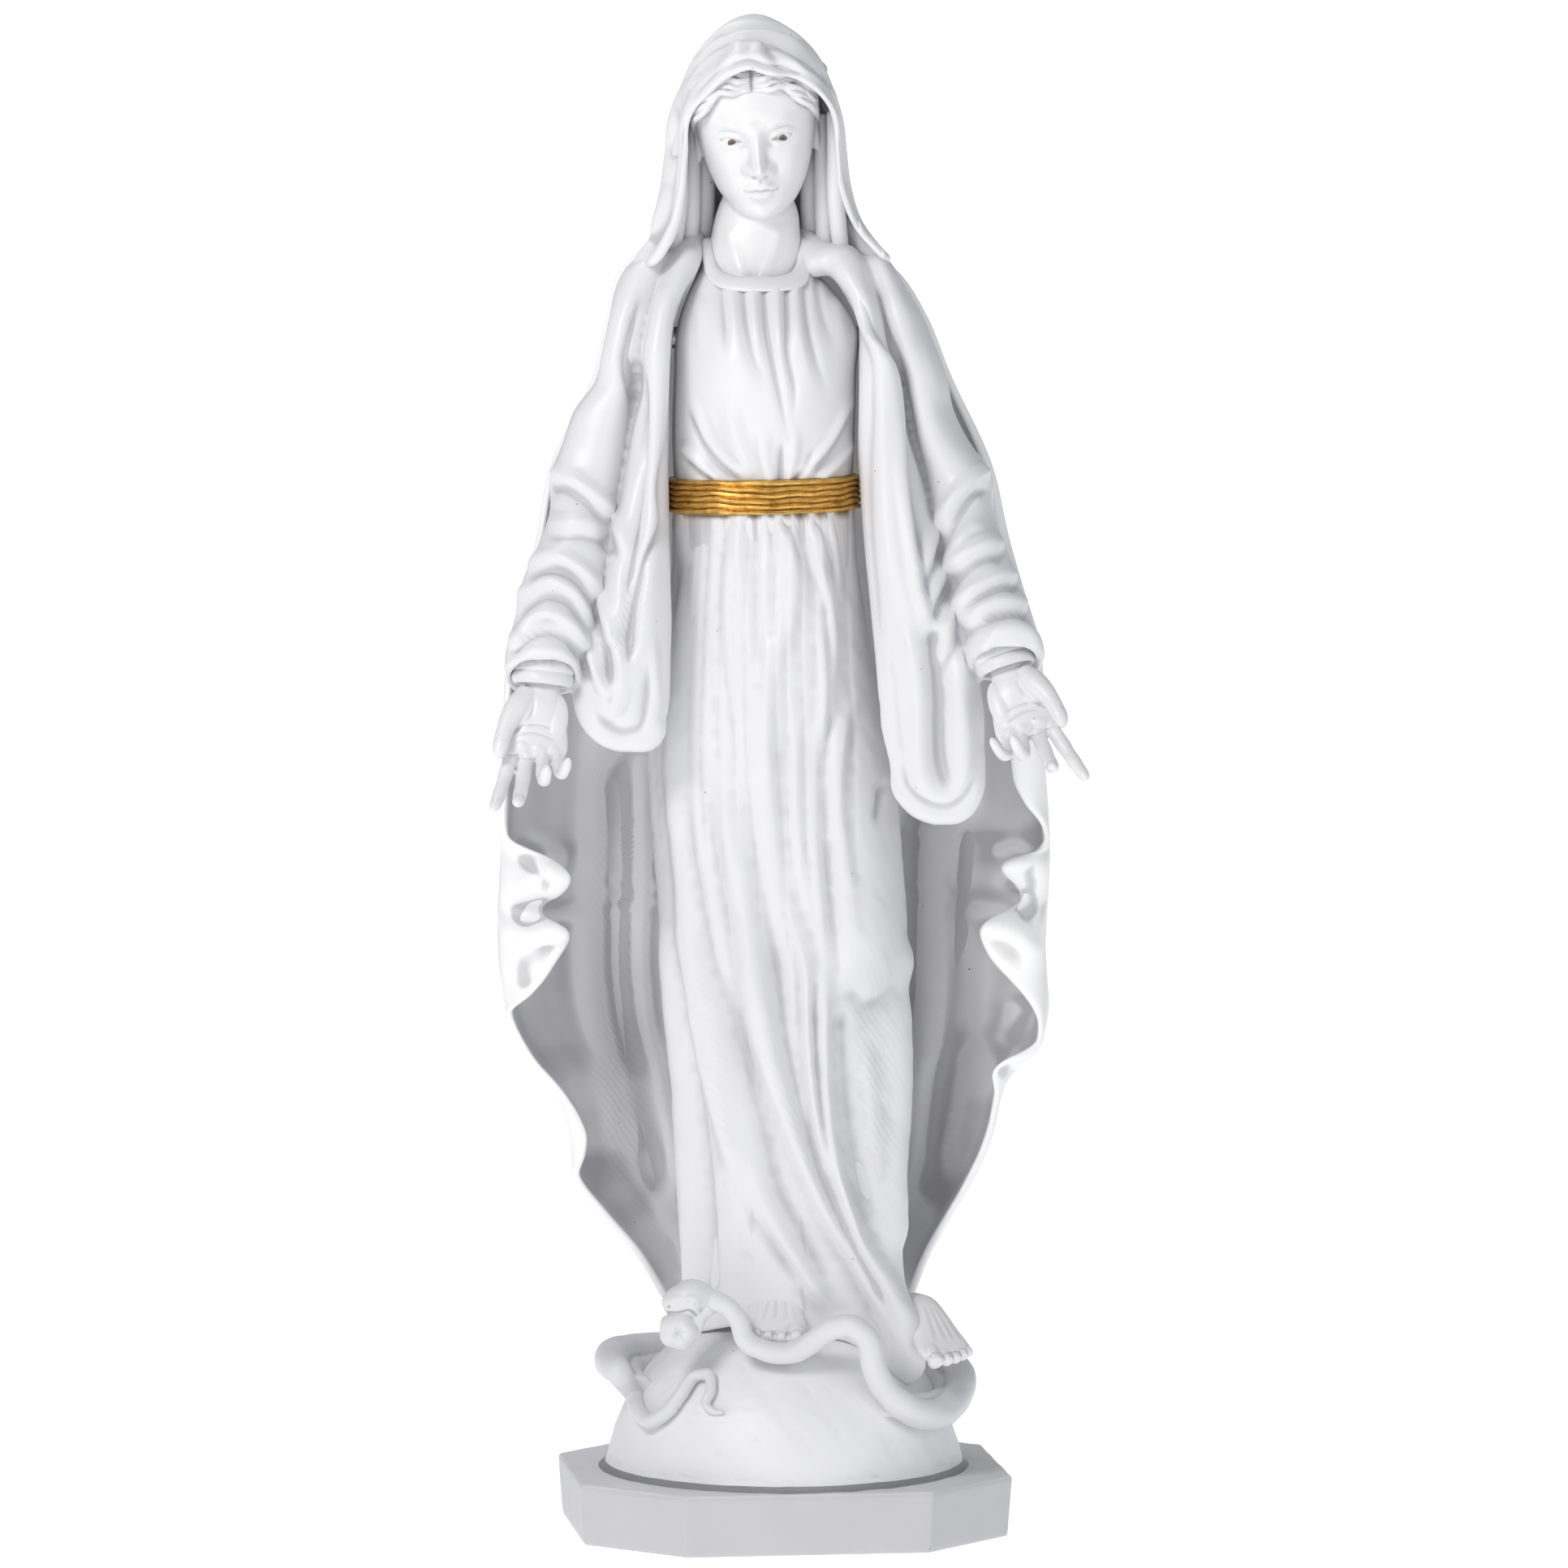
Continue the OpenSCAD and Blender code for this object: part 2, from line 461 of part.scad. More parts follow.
// ---------- mantle ----------
// Front panels between sleeve and gown; rows: height, x next to the arm, x next to the gown, front y, back y.
panel_rows = [
  [[948, -205, -152, -150, -118], [975, -232, -141, -158, -100], [1010, -238, -138, -160, -70], [1060, -233, -135, -156, -40],
   [1105, -222, -134, -150, -10], [1183, -203, -136, -136, 30], [1262, -186, -137, -118, 60], [1340, -174, -136, -106, 66],
   [1413, -162, -133, -100, 66], [1445, -157, -130, -92, 66], [1470, -152, -122, -84, 66],
   [1505, -142, -107, -66, 62], [1536, -120, -102, -40, 50]],
  [[852, 165, 205, -148, -120], [880, 145, 224, -158, -100], [930, 132, 226, -162, -80], [1000, 118, 219, -160, -60],
   [1060, 113, 210, -156, -40], [1105, 106, 203, -150, -10], [1183, 98, 184, -136, 30], [1262, 92, 164, -118, 60],
   [1340, 90, 144, -106, 66], [1413, 91, 126, -100, 66], [1445, 90, 118, -92, 66], [1470, 78, 112, -84, 66],
   [1505, 56, 102, -66, 62], [1536, 46, 84, -40, 50]]];
module panel(k) {
  rows = panel_rows[k];
  z0 = rows[0][0];
  zs = [for (j = [0:18]) mix(z0, 1536, j / 18)];
  color(white) figure() loft([for (z = zs) sleeve_ring(rows, z, 1)]);
}
module mantle_front_right() { panel(0); }
module mantle_front_left() { panel(1); }
// Cape; rows: height, left edge x, right edge x, edge y, back y.
cape_rows = [
  [270, -142, 150, 40, 132], [300, -152, 160, 24, 140], [340, -186, 178, 4, 150], [400, -236, 206, -16, 160],
  [450, -250, 226, -20, 166], [500, -256, 244, -26, 170], [560, -300, 262, -34, 172], [610, -328, 300, -40, 174],
  [720, -330, 304, -30, 174], [860, -331, 306, -6, 174], [960, -330, 306, 30, 172], [1040, -328, 306, 68, 170],
  [1180, -292, 264, 88, 162], [1262, -277, 248, 92, 156], [1375, -222, 194, 92, 142], [1452, -206, 163, 88, 128],
  [1500, -190, 130, 84, 118], [1540, -150, 80, 78, 112]];
fold_n = 9;            // falling folds across the back
fold_d = 5;            // their depth
function cape_arc(z, off) = let (xa = at(cape_rows, z, 1), xb = at(cape_rows, z, 2), ya = at(cape_rows, z, 3), yb = at(cape_rows, z, 4),
    deep = fold_d * min(1, max(0, (1500 - z) / 700)))
  [for (i = [0:arc_n + 8]) let (t = 180 * (1 - i / (arc_n + 8)), w = sin(t) * deep * cos(fold_n * 2 * t))
    [(xa + xb) / 2 + ((xb - xa) / 2 - off * abs(cos(t))) * pw(cos(t), 0.8), ya + (yb - ya + w - off * sqrt(sin(t) + 0.0001)) * pw(sin(t), 0.7), z]];
module mantle_back() {
  zs = [for (j = [0:26]) mix(270, 1531, j / 26)];
  color(white) figure() cloth([for (z = zs) cape_arc(z, 0)], [for (z = zs) cape_arc(z, mantle_wall)]);
}

// ---------- feet, serpent, apple ----------
// Foot pointing forward from a hidden instep: place, turn, tilt down, length.
foot_rows = [[0, 0, 20, 17, 17], [0.21, 0, 25, 22, 22], [0.43, -1, 22, 27, 19], [0.66, -2, 17, 33, 14], [0.82, -2, 13, 36, 11],
  [0.95, -2, 10, 34, 8], [1, -2, 9, 28, 5]];
module foot(p, turn, tilt, l) {
  color(white) figure() translate(p) rotate([tilt, 0, turn]) rotate([90, 0, 0])
    loft([for (q = foot_rows) [for (i = [0:17]) [q[1] + q[3] * pw(cos(20 * i), 0.8), q[2] + q[4] * pw(sin(20 * i), 0.8), q[0] * l]]]);
}
module foot_right() { foot([-4, -26, 265], -5, 17, 96); }
module foot_left() { foot([163, -24, 250], 12, 22, 122); }

// Middle line of the serpent from head to tail: [place, radius].
serpent_line = [
  [[-140, -150, 284], 6], [[-126, -150, 290], 12], [[-106, -148, 294], 17], [[-86, -146, 290], 14], [[-67, -146, 284], 12],
  [[-53, -148, 268], 12], [[-45, -152, 246], 12.5], [[-18, -155, 232], 13], [[9, -155, 231], 13.5], [[33, -154, 243], 13.5],
  [[58, -158, 260], 13.5], [[80, -164, 264], 14], [[98, -166, 250], 14.5], [[106, -165, 218], 15], [on_globe(120, 184, 22), 16],
  [on_globe(144, 160, 20), 17.5], [on_globe(174, 148, 20), 18.5], [on_globe(199, 154, 21), 18.5], [[212, -22, 170], 18.5],
  [[210, 20, 180], 19], [[186, 84, 186], 20], [[140, 140, 190], 21], [[76, 178, 192], 22], [[0, 194, 194], serpent_r], [[-78, 180, 192], serpent_r],
  [[-144, 142, 190], serpent_r], [[-186, 88, 194], serpent_r], [[-204, 28, 198], 22], [[-206, -26, 196], 19], [[-196, -70, 188], 15],
  [on_globe(-182, 168, 11), 11], [on_globe(-172, 150, 9.5), 9.5], [on_globe(-158, 144, 9), 9], [on_globe(-142, 154, 8.5), 8.5], [on_globe(-122, 178, 8), 8],
  [on_globe(-104, 200, 7.5), 7.5], [on_globe(-90, 202, 7), 7], [on_globe(-86, 186, 6), 6], [on_globe(-92, 170, 5.5), 5.5], [on_globe(-82, 163, 4.5), 4.5], [on_globe(-70, 162, 3), 3]];
module serpent() { color(white) figure() sweep([for (q = serpent_line) q[0]], [for (q = serpent_line) q[1]], 12); }
module apple() { color(white) figure() translate([-124, -152, 256]) sphere(r = apple_r - 6); }

plinth();
base_board();
board_screws();
globe();
spine_flange();
flange_bolts();
flange_nuts();
spine_tube();
shoulder_tee();
shoulder_bar();
neck_rod();
arm_tube_right();
arm_tube_left();
hand_socket_right();
hand_socket_left();
hand_peg_right();
hand_peg_left();
hand_right();
hand_left();
gown_skirt();
gown_bodice();
neckband();
sash();
sleeve_right();
sleeve_left();
cuff_right();
cuff_left();
mantle_front_right();
mantle_front_left();
mantle_back();
veil();
hair();
head();
eye_right();
eye_left();
foot_right();
foot_left();
serpent();
apple();
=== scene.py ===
"""Statue of the Madonna on a globe: the finished surfaces of the painted casting.

Lengths are millimetres in the figure's own frame (across, fore and aft, up; the front is towards
minus y) until place() turns them into metres in the frame of the part.
"""
import math

import bpy
import numpy as np
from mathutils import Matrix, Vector


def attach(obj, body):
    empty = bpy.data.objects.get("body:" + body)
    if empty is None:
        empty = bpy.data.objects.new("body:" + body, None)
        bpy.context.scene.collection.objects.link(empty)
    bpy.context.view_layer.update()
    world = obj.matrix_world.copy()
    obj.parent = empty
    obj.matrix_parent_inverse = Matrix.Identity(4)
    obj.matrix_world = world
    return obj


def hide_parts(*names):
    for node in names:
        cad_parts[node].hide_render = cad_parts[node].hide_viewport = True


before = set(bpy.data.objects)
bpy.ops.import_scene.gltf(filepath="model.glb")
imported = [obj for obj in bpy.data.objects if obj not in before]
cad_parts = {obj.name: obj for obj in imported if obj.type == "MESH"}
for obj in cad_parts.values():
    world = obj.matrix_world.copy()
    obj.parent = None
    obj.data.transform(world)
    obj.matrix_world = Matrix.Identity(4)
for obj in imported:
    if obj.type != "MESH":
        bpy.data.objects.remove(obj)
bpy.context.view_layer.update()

MM = 0.001
FIGURE_TURN = math.radians(-7.5)      # the figure stands turned on its plinth
GLOBE_R = 215.0
GLOBE_Z = 50.0
PLINTH_W, PLINTH_D, PLINTH_H = 517.0, 464.0, 73.0
PLINTH_CUT = 111.0                    # how far each corner of the plinth is cut back
GLOBE_AROUND = 300                    # points in one ring of the globe
# voxel size of each fused skin, mm
HEAD_VOXEL = 1.55
HAND_VOXEL = 1.2
FOOT_VOXEL = 1.15


# ---------- curves and number helpers ----------
def hermite(xs, ys, q):
    """Smooth curve through the values ys at xs, read at q."""
    xs = np.asarray(xs, float)
    ys = np.asarray(ys, float)
    q = np.asarray(q, float)
    slope = np.gradient(ys, xs, axis=0)
    i = np.clip(np.searchsorted(xs, q) - 1, 0, len(xs) - 2)
    h = xs[i + 1] - xs[i]
    u = np.clip((q - xs[i]) / h, 0, 1)
    if ys.ndim > 1:
        u = u[..., None]
        h = h[..., None]
    ease = u * u * (3 - 2 * u)
    bend = h * u * (1 - u) * ((1 - u) * slope[i] - u * slope[i + 1])
    return ys[i] * (1 - ease) + ys[i + 1] * ease + bend


def curve(points, n):
    """n places spaced evenly along a smooth line through the points."""
    p = np.asarray(points, float)
    s = np.r_[0, np.cumsum(np.linalg.norm(np.diff(p, axis=0), axis=1))]
    return hermite(s, p, np.linspace(0, s[-1], n))


def ramp(x, a, b):
    """0 at a, 1 at b, smooth between."""
    u = np.clip((np.asarray(x, float) - a) / (b - a), 0, 1)
    return u * u * (3 - 2 * u)


def bump(x, width):
    """1 at 0, falling smoothly to nothing over about two widths."""
    return np.exp(-(np.asarray(x, float) / width) ** 2)


def power(v, e):
    return np.sign(v) * np.abs(v) ** e


def waver(P, size, seed, n=7):
    """Gentle random unevenness from -1 to 1 at places P, with features of about that size."""
    rng = np.random.default_rng(seed)
    out = np.zeros(len(P))
    for _ in range(n):
        d = rng.normal(size=P.shape[1])
        d *= 2 * math.pi / (size * (0.6 + 0.9 * rng.random())) / np.linalg.norm(d)
        out += np.sin(P @ d + rng.random() * 6.28)
    return out / math.sqrt(n)


def dome(r):
    """Height of the globe at distance r from its axis."""
    return GLOBE_Z + np.sqrt(np.maximum(0, GLOBE_R ** 2 - np.asarray(r, float) ** 2))


# ---------- meshes ----------
def grid_faces(rows, cols, wrap=False, start=0):
    """Quads of a grid whose first index runs over rows; wrap joins its last column to its first."""
    j, i = np.meshgrid(np.arange(rows - 1), np.arange(cols if wrap else cols - 1), indexing="ij")
    k = (i + 1) % cols
    q = np.stack([j * cols + i, j * cols + k, (j + 1) * cols + k, (j + 1) * cols + i], axis=-1)
    return q.reshape(-1, 4) + start


def band_faces(rows, cols):
    """Faces of a closed band: every row goes round, and the last row meets the first."""
    seam = grid_faces(2, cols, True)
    seam = np.where(seam < cols, seam + (rows - 1) * cols, seam - cols)
    return np.concatenate([grid_faces(rows, cols, True), seam])


def tube_mesh(rings):
    """Closed body from a stack of rings (rows x cols x 3) with a middle point at each end."""
    m, n, _ = rings.shape
    V = np.vstack([rings.reshape(-1, 3), rings[0].mean(0), rings[-1].mean(0)])
    F = [tuple(f) for f in grid_faces(m, n, True)]
    i = np.arange(n)
    k = (i + 1) % n
    F += [(m * n, b, a) for a, b in zip(i, k)]
    F += [(m * n + 1, (m - 1) * n + a, (m - 1) * n + b) for a, b in zip(i, k)]
    return V, F


def sheet_mesh(front, back):
    """Cloth with thickness: two grids of the same size joined round their edges."""
    m, n, _ = front.shape
    o = m * n
    V = np.vstack([front.reshape(-1, 3), back.reshape(-1, 3)])
    F = [tuple(f) for f in grid_faces(m, n)]
    F += [tuple(f[::-1] + o) for f in grid_faces(m, n)]
    edge = [(0, i) for i in range(n)] + [(j, n - 1) for j in range(1, m)]
    edge += [(m - 1, i) for i in range(n - 2, -1, -1)] + [(j, 0) for j in range(m - 2, 0, -1)]
    edge = [j * n + i for j, i in edge]
    for a, b in zip(edge, edge[1:] + edge[:1]):
        F.append((b, a, a + o, b + o))
    return V, F


def joined(*bodies):
    """Several (V, F) bodies as one."""
    V, F, start = [], [], 0
    for v, f in bodies:
        V.append(v)
        F += [tuple(int(i) + start for i in g) for g in f]
        start += len(v)
    return np.vstack(V), F


def raw_mesh(name, V, F):
    me = bpy.data.meshes.new(name)
    me.from_pydata((np.asarray(V) * MM).tolist(), [], [tuple(map(int, f)) for f in F])
    me.validate()
    return me


def arrays(me):
    V = np.empty(len(me.vertices) * 3)
    me.vertices.foreach_get("co", V)
    F = np.empty(len(me.loops), int)
    me.loops.foreach_get("vertex_index", F)
    start = np.empty(len(me.polygons), int)
    me.polygons.foreach_get("loop_start", start)
    return V.reshape(-1, 3) / MM, [tuple(g) for g in np.split(F, start[1:])]


def remesh(body, voxel):
    """Fuses overlapping closed bodies into one even skin of quads, voxel mm across."""
    me = raw_mesh("fused", *body)
    o = bpy.data.objects.new("fused", me)
    bpy.context.scene.collection.objects.link(o)
    mod = o.modifiers.new("fuse", "REMESH")
    mod.mode = "VOXEL"
    mod.voxel_size = voxel * MM
    out = bpy.data.meshes.new_from_object(o.evaluated_get(bpy.context.evaluated_depsgraph_get()))
    V, F = arrays(out)
    bpy.data.objects.remove(o)
    bpy.data.meshes.remove(out)
    return V, F


def quad_array(F):
    return np.array([f if len(f) == 4 else (f[0], f[1], f[2], f[2]) for f in F])


def normals(V, Q):
    n = np.cross(V[Q[:, 2]] - V[Q[:, 0]], V[Q[:, 3]] - V[Q[:, 1]])
    N = np.zeros_like(V)
    for k in range(4):
        np.add.at(N, Q[:, k], n)
    return N / np.maximum(1e-9, np.linalg.norm(N, axis=1))[:, None]


def edges_of(Q):
    e = np.vstack([Q[:, [0, 1]], Q[:, [1, 2]], Q[:, [2, 3]], Q[:, [3, 0]]])
    e = e[e[:, 0] != e[:, 1]]
    e.sort(axis=1)
    return np.unique(e, axis=0)


def relax(V, Q, rounds, keep=None, k=0.5):
    """Evens a skin by moving each point towards its neighbours; keep 1 holds a point still."""
    E = edges_of(Q)
    count = np.bincount(E.ravel(), minlength=len(V)).astype(float)[:, None]
    free = 1.0 if keep is None else (1 - keep)[:, None]
    V = V.copy()
    for _ in range(rounds):
        total = np.zeros_like(V)
        np.add.at(total, E[:, 0], V[E[:, 1]])
        np.add.at(total, E[:, 1], V[E[:, 0]])
        V += k * free * (total / np.maximum(1, count) - V)
    return V


def spread(x, Q, rounds):
    """A value per point, averaged over its neighbours."""
    return relax(x[:, None], Q, rounds)[:, 0]


# ---------- folds ----------
def fold(path, height, left, right=None, ends=(0.25, 0.25)):
    """A fold seen from the front: its line (across, up), height (minus for a valley), the width on its
    left and right side looking down the line, and the share of its length that it takes to rise and die."""
    return [path, height, left, left if right is None else right, ends]


def deeper(folds, k):
    """The same folds, k times as high."""
    return [[path, k * height, left, right, ends] for path, height, left, right, ends in folds]


def relief(P, folds):
    """Height of the folds at front-view places P."""
    out = np.zeros(len(P))
    for path, height, left, right, ends in folds:
        n = 72
        c = curve(path, n)
        t = np.gradient(c, axis=0)
        t /= np.linalg.norm(t, axis=1)[:, None]
        right_hand = np.stack([-t[:, 1], t[:, 0]], axis=1)
        reach = 3 * max(left, right)
        near = np.where(np.all((P > c.min(0) - reach) & (P < c.max(0) + reach), axis=1))[0]
        for part in np.array_split(near, max(1, len(near) // 20000)):
            q = P[part]
            d2 = ((q[:, None, :] - c[None]) ** 2).sum(2)
            k = d2.argmin(1)
            v = q - c[k]
            side = (v * right_hand[k]).sum(1)
            along = k + (v * t[k]).sum(1) / (np.linalg.norm(c[1] - c[0]) + 1e-6)
            s = np.clip(along / (n - 1), 0, 1)
            past = (along < 0) | (along > n - 1)
            d = np.where(past, np.sqrt(d2[np.arange(len(q)), k]), np.abs(side))
            width = np.where(side > 0, left, right)
            rise = ramp(s, 0, ends[0]) if ends[0] else 1.0
            fall = ramp(1 - s, 0, ends[1]) if ends[1] else 1.0
            out[part] += height * rise * fall * np.exp(-(d / width) ** 2)
    return out


def swell(P, lumps):
    """Height of soft rounded lumps: (across, up, half width, half height, height)."""
    out = np.zeros(len(P))
    for x, z, w, h, high in lumps:
        out += high * np.exp(-((P[:, 0] - x) / w) ** 2 - ((P[:, 1] - z) / h) ** 2)
    return out


def carve(V, Q, folds, lumps=(), limit=None, face=0.12, sag=1.0):
    """Raises the folds on the part of a skin that faces forward, along its own normals."""
    N = relax(normals(V, Q), Q, 3)
    N /= np.maximum(1e-9, np.linalg.norm(N, axis=1))[:, None]
    front = ramp(-N[:, 1], face * 0.2, face * 2.5)
    D = relief(V[:, [0, 2]], folds) + swell(V[:, [0, 2]], lumps)
    if limit is not None:
        D = np.clip(D, *limit)
    D *= front * sag
    return V + N * D[:, None], D


# ---------- pieces ----------
def place(V):
    c, s = math.cos(FIGURE_TURN), math.sin(FIGURE_TURN)
    W = np.asarray(V, float)
    return np.stack([c * W[:, 0] - s * W[:, 1], s * W[:, 0] + c * W[:, 1], W[:, 2]], axis=1)


def piece(name, V, F, material, body="statue", nodes=(), turned=True, hollow=None, tool=None,
          flow=None, flip=False):
    """Adds a finished piece: its skin, its marks for the paint with the painted shade among them, its body,
    its slot.
    """
    V = place(V) if turned else np.asarray(V, float)
    if flip:
        F = [tuple(f[::-1]) for f in F]
    me = bpy.data.meshes.new(name)
    me.from_pydata((V * MM).tolist(), [], [tuple(map(int, f)) for f in F])
    me.polygons.foreach_set("use_smooth", [True] * len(me.polygons))
    Q = quad_array(F)
    # painted shade: unless given, every point is darkened by how far it lies below its surroundings
    if hollow is None:
        hollow = crease_shade(V, Q)
    for label, value in (("hollow", hollow), ("tool", tool), ("flow", flow)):
        a = me.attributes.new(label, "FLOAT", "POINT")
        a.data.foreach_set("value", np.zeros(len(V)) if value is None else np.asarray(value, float))
    me.validate()
    o = bpy.data.objects.new(name, me)
    bpy.context.scene.collection.objects.link(o)
    me.materials.append(material)
    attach(o, body)
    if nodes:
        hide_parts(*nodes)
    return o


def crease_shade(V, Q):
    """Painted shade for each point: 0 on open faces up to 1 down in the folds, from how far each point lies
    below its surroundings.
    """
    N = normals(V, Q)
    smooth = relax(V, Q, 6)
    depth = ((smooth - V) * N).sum(1)
    return np.clip(spread(depth, Q, 2) * 1.6, -1, 1)


# ---------- finishes ----------
def nodes_of(name):
    m = bpy.data.materials.new(name)
    m.use_nodes = True
    t = m.node_tree
    shader = t.nodes["Principled BSDF"]
    where = t.nodes.new("ShaderNodeTexCoord")

    def add(kind, **settings):
        n = t.nodes.new(kind)
        for k, v in settings.items():
            if k in n.inputs:
                n.inputs[k].default_value = v
            else:
                setattr(n, k, v)
        return n

    def join(a, out, b, into):
        t.links.new(a.outputs[out], b.inputs[into])
    return m, shader, where, add, join


def ramp_node(add, low, high, a, b):
    r = add("ShaderNodeMapRange")
    r.inputs["From Min"].default_value = low
    r.inputs["From Max"].default_value = high
    r.inputs["To Min"].default_value = a
    r.inputs["To Max"].default_value = b
    return r


def cast_white(name, tint=(0.80, 0.80, 0.815), deep=(0.56, 0.56, 0.585), rough=0.42, streak=1.0):
    """Satin white paint over a hand-tooled cast: brush streaks, comb marks, pinholes, painted shade greying
    the folds.
    """
    m, shader, where, add, join = nodes_of(name)
    stretch = add("ShaderNodeMapping")
    stretch.inputs["Scale"].default_value = (1, 1, 0.12)
    join(where, "Object", stretch, "Vector")
    brush = add("ShaderNodeTexNoise", Scale=260.0, Detail=5.0, Roughness=0.62)
    join(stretch, "Vector", brush, "Vector")
    cloud = add("ShaderNodeTexNoise", Scale=9.0, Detail=3.0, Roughness=0.5)
    join(where, "Object", cloud, "Vector")
    grain = add("ShaderNodeTexNoise", Scale=900.0, Detail=2.0)
    join(where, "Object", grain, "Vector")
    pores = add("ShaderNodeTexVoronoi", Scale=42.0, Randomness=1.0)
    join(where, "Object", pores, "Vector")
    pore = ramp_node(add, 0.030, 0.055, 1.0, 0.0)
    join(pores, "Distance", pore, "Value")
    chance = ramp_node(add, 0.56, 0.60, 0.0, 1.0)
    join(cloud, "Fac", chance, "Value")
    pit = add("ShaderNodeMath", operation="MULTIPLY")
    join(pore, "Result", pit, 0)
    join(chance, "Result", pit, 1)

    # painted shade: this mark darkens the paint in the folds; a little random cloud tone is added to it
    hollow = add("ShaderNodeAttribute", attribute_name="hollow")
    tool = add("ShaderNodeAttribute", attribute_name="tool")
    shade = ramp_node(add, 0.04, 0.85, 0.0, 1.0)
    join(hollow, "Fac", shade, "Value")
    vary = ramp_node(add, 0.35, 0.70, 0.0, 0.10)
    join(cloud, "Fac", vary, "Value")
    both = add("ShaderNodeMath", operation="ADD", use_clamp=True)
    join(shade, "Result", both, 0)
    join(vary, "Result", both, 1)
    # tint is the paint; deep is the painted shade colour it mixes towards in the folds
    tone = add("ShaderNodeMix", data_type="RGBA")
    tone.inputs[6].default_value = (*tint, 1)
    tone.inputs[7].default_value = (*deep, 1)
    join(both, "Value", tone, 0)
    speck = add("ShaderNodeMix", data_type="RGBA")
    speck.inputs[7].default_value = (0.20, 0.18, 0.17, 1)
    join(tone, 2, speck, 6)
    join(pit, "Value", speck, 0)
    join(speck, 2, shader, "Base Color")

    comb = add("ShaderNodeTexWave", Scale=46.0, Distortion=3.0, Detail=2.0)
    comb.bands_direction = "DIAGONAL"
    comb.inputs["Detail Scale"].default_value = 1.4
    join(where, "Object", comb, "Vector")
    marks = add("ShaderNodeMath", operation="MULTIPLY")
    join(comb, "Fac", marks, 0)
    join(tool, "Fac", marks, 1)
    heights = add("ShaderNodeMath", operation="MULTIPLY_ADD")
    heights.inputs[1].default_value = 0.16 * streak
    join(brush, "Fac", heights, 0)
    join(marks, "Value", heights, 2)
    fine = add("ShaderNodeMath", operation="MULTIPLY_ADD")
    fine.inputs[1].default_value = 0.05
    join(grain, "Fac", fine, 0)
    join(heights, "Value", fine, 2)
    sunk = add("ShaderNodeMath", operation="SUBTRACT")
    join(fine, "Value", sunk, 0)
    join(pit, "Value", sunk, 1)
    relief_node = add("ShaderNodeBump", Strength=0.55, Distance=0.0012)
    join(sunk, "Value", relief_node, "Height")
    join(relief_node, "Normal", shader, "Normal")
    gloss = ramp_node(add, 0.3, 0.7, rough - 0.06, rough + 0.08)
    join(brush, "Fac", gloss, "Value")
    join(gloss, "Result", shader, "Roughness")
    shader.inputs["Coat Weight"].default_value = 0.12
    shader.inputs["Coat Roughness"].default_value = 0.28
    return m


def leaf_gold(name):
    """Gold leaf over red-brown size, showing through in random worn patches, with painted shade dark between
    the pleats.
    """
    m, shader, where, add, join = nodes_of(name)
    mottle = add("ShaderNodeTexNoise", Scale=60.0, Detail=6.0, Roughness=0.65)
    join(where, "Object", mottle, "Vector")
    stretch = add("ShaderNodeMapping")
    stretch.inputs["Scale"].default_value = (1, 1, 7)
    join(where, "Object", stretch, "Vector")
    wrinkle = add("ShaderNodeTexNoise", Scale=55.0, Detail=5.0, Roughness=0.6)
    join(stretch, "Vector", wrinkle, "Vector")
    hollow = add("ShaderNodeAttribute", attribute_name="hollow")
    # painted shade between the pleats, joined below with the random worn patches
    low = ramp_node(add, 0.0, 0.6, 0.0, 1.0)
    join(hollow, "Fac", low, "Value")
    patch = ramp_node(add, 0.42, 0.66, 0.0, 0.75)
    join(mottle, "Fac", patch, "Value")
    wear_and_shade = add("ShaderNodeMath", operation="MAXIMUM", use_clamp=True)
    join(low, "Result", wear_and_shade, 0)
    join(patch, "Result", wear_and_shade, 1)
    tone = add("ShaderNodeMix", data_type="RGBA")
    tone.inputs[6].default_value = (0.80, 0.52, 0.15, 1)
    tone.inputs[7].default_value = (0.36, 0.17, 0.035, 1)
    join(wear_and_shade, "Value", tone, 0)
    join(tone, 2, shader, "Base Color")
    shader.inputs["Metallic"].default_value = 0.92
    gloss = ramp_node(add, 0.3, 0.7, 0.22, 0.48)
    join(wrinkle, "Fac", gloss, "Value")
    join(gloss, "Result", shader, "Roughness")
    relief_node = add("ShaderNodeBump", Strength=0.5, Distance=0.0016)
    join(wrinkle, "Fac", relief_node, "Height")
    join(relief_node, "Normal", shader, "Normal")
    return m


def iris_glass(name):
    """Glass eye: white ground, brown iris with darker rim and fine rays, black pupil, by a radius mark."""
    m, shader, where, add, join = nodes_of(name)
    radius = add("ShaderNodeAttribute", attribute_name="flow")
    rays = add("ShaderNodeTexNoise", Scale=900.0, Detail=4.0)
    join(where, "Object", rays, "Vector")
    jitter = add("ShaderNodeMath", operation="MULTIPLY_ADD")
    jitter.inputs[1].default_value = 0.10
    join(rays, "Fac", jitter, 0)
    join(radius, "Fac", jitter, 2)
    bands = add("ShaderNodeValToRGB")
    r = bands.color_ramp
    stops = [(0.0, (0.012, 0.01, 0.01)), (0.30, (0.012, 0.01, 0.01)), (0.36, (0.10, 0.055, 0.035)),
             (0.62, (0.16, 0.09, 0.06)), (0.74, (0.04, 0.025, 0.02)), (0.80, (0.74, 0.73, 0.74)),
             (1.0, (0.78, 0.77, 0.78))]
    r.elements[0].position, r.elements[0].color = stops[0][0], (*stops[0][1], 1)
    r.elements[1].position, r.elements[1].color = stops[-1][0], (*stops[-1][1], 1)
    for at, tone in stops[1:-1]:
        r.elements.new(at).color = (*tone, 1)
    join(jitter, "Value", bands, "Fac")
    join(bands, "Color", shader, "Base Color")
    gloss = ramp_node(add, 0.3, 0.7, 0.03, 0.07)
    join(rays, "Fac", gloss, "Value")
    join(gloss, "Result", shader, "Roughness")
    shader.inputs["Coat Weight"].default_value = 1.0
    return m


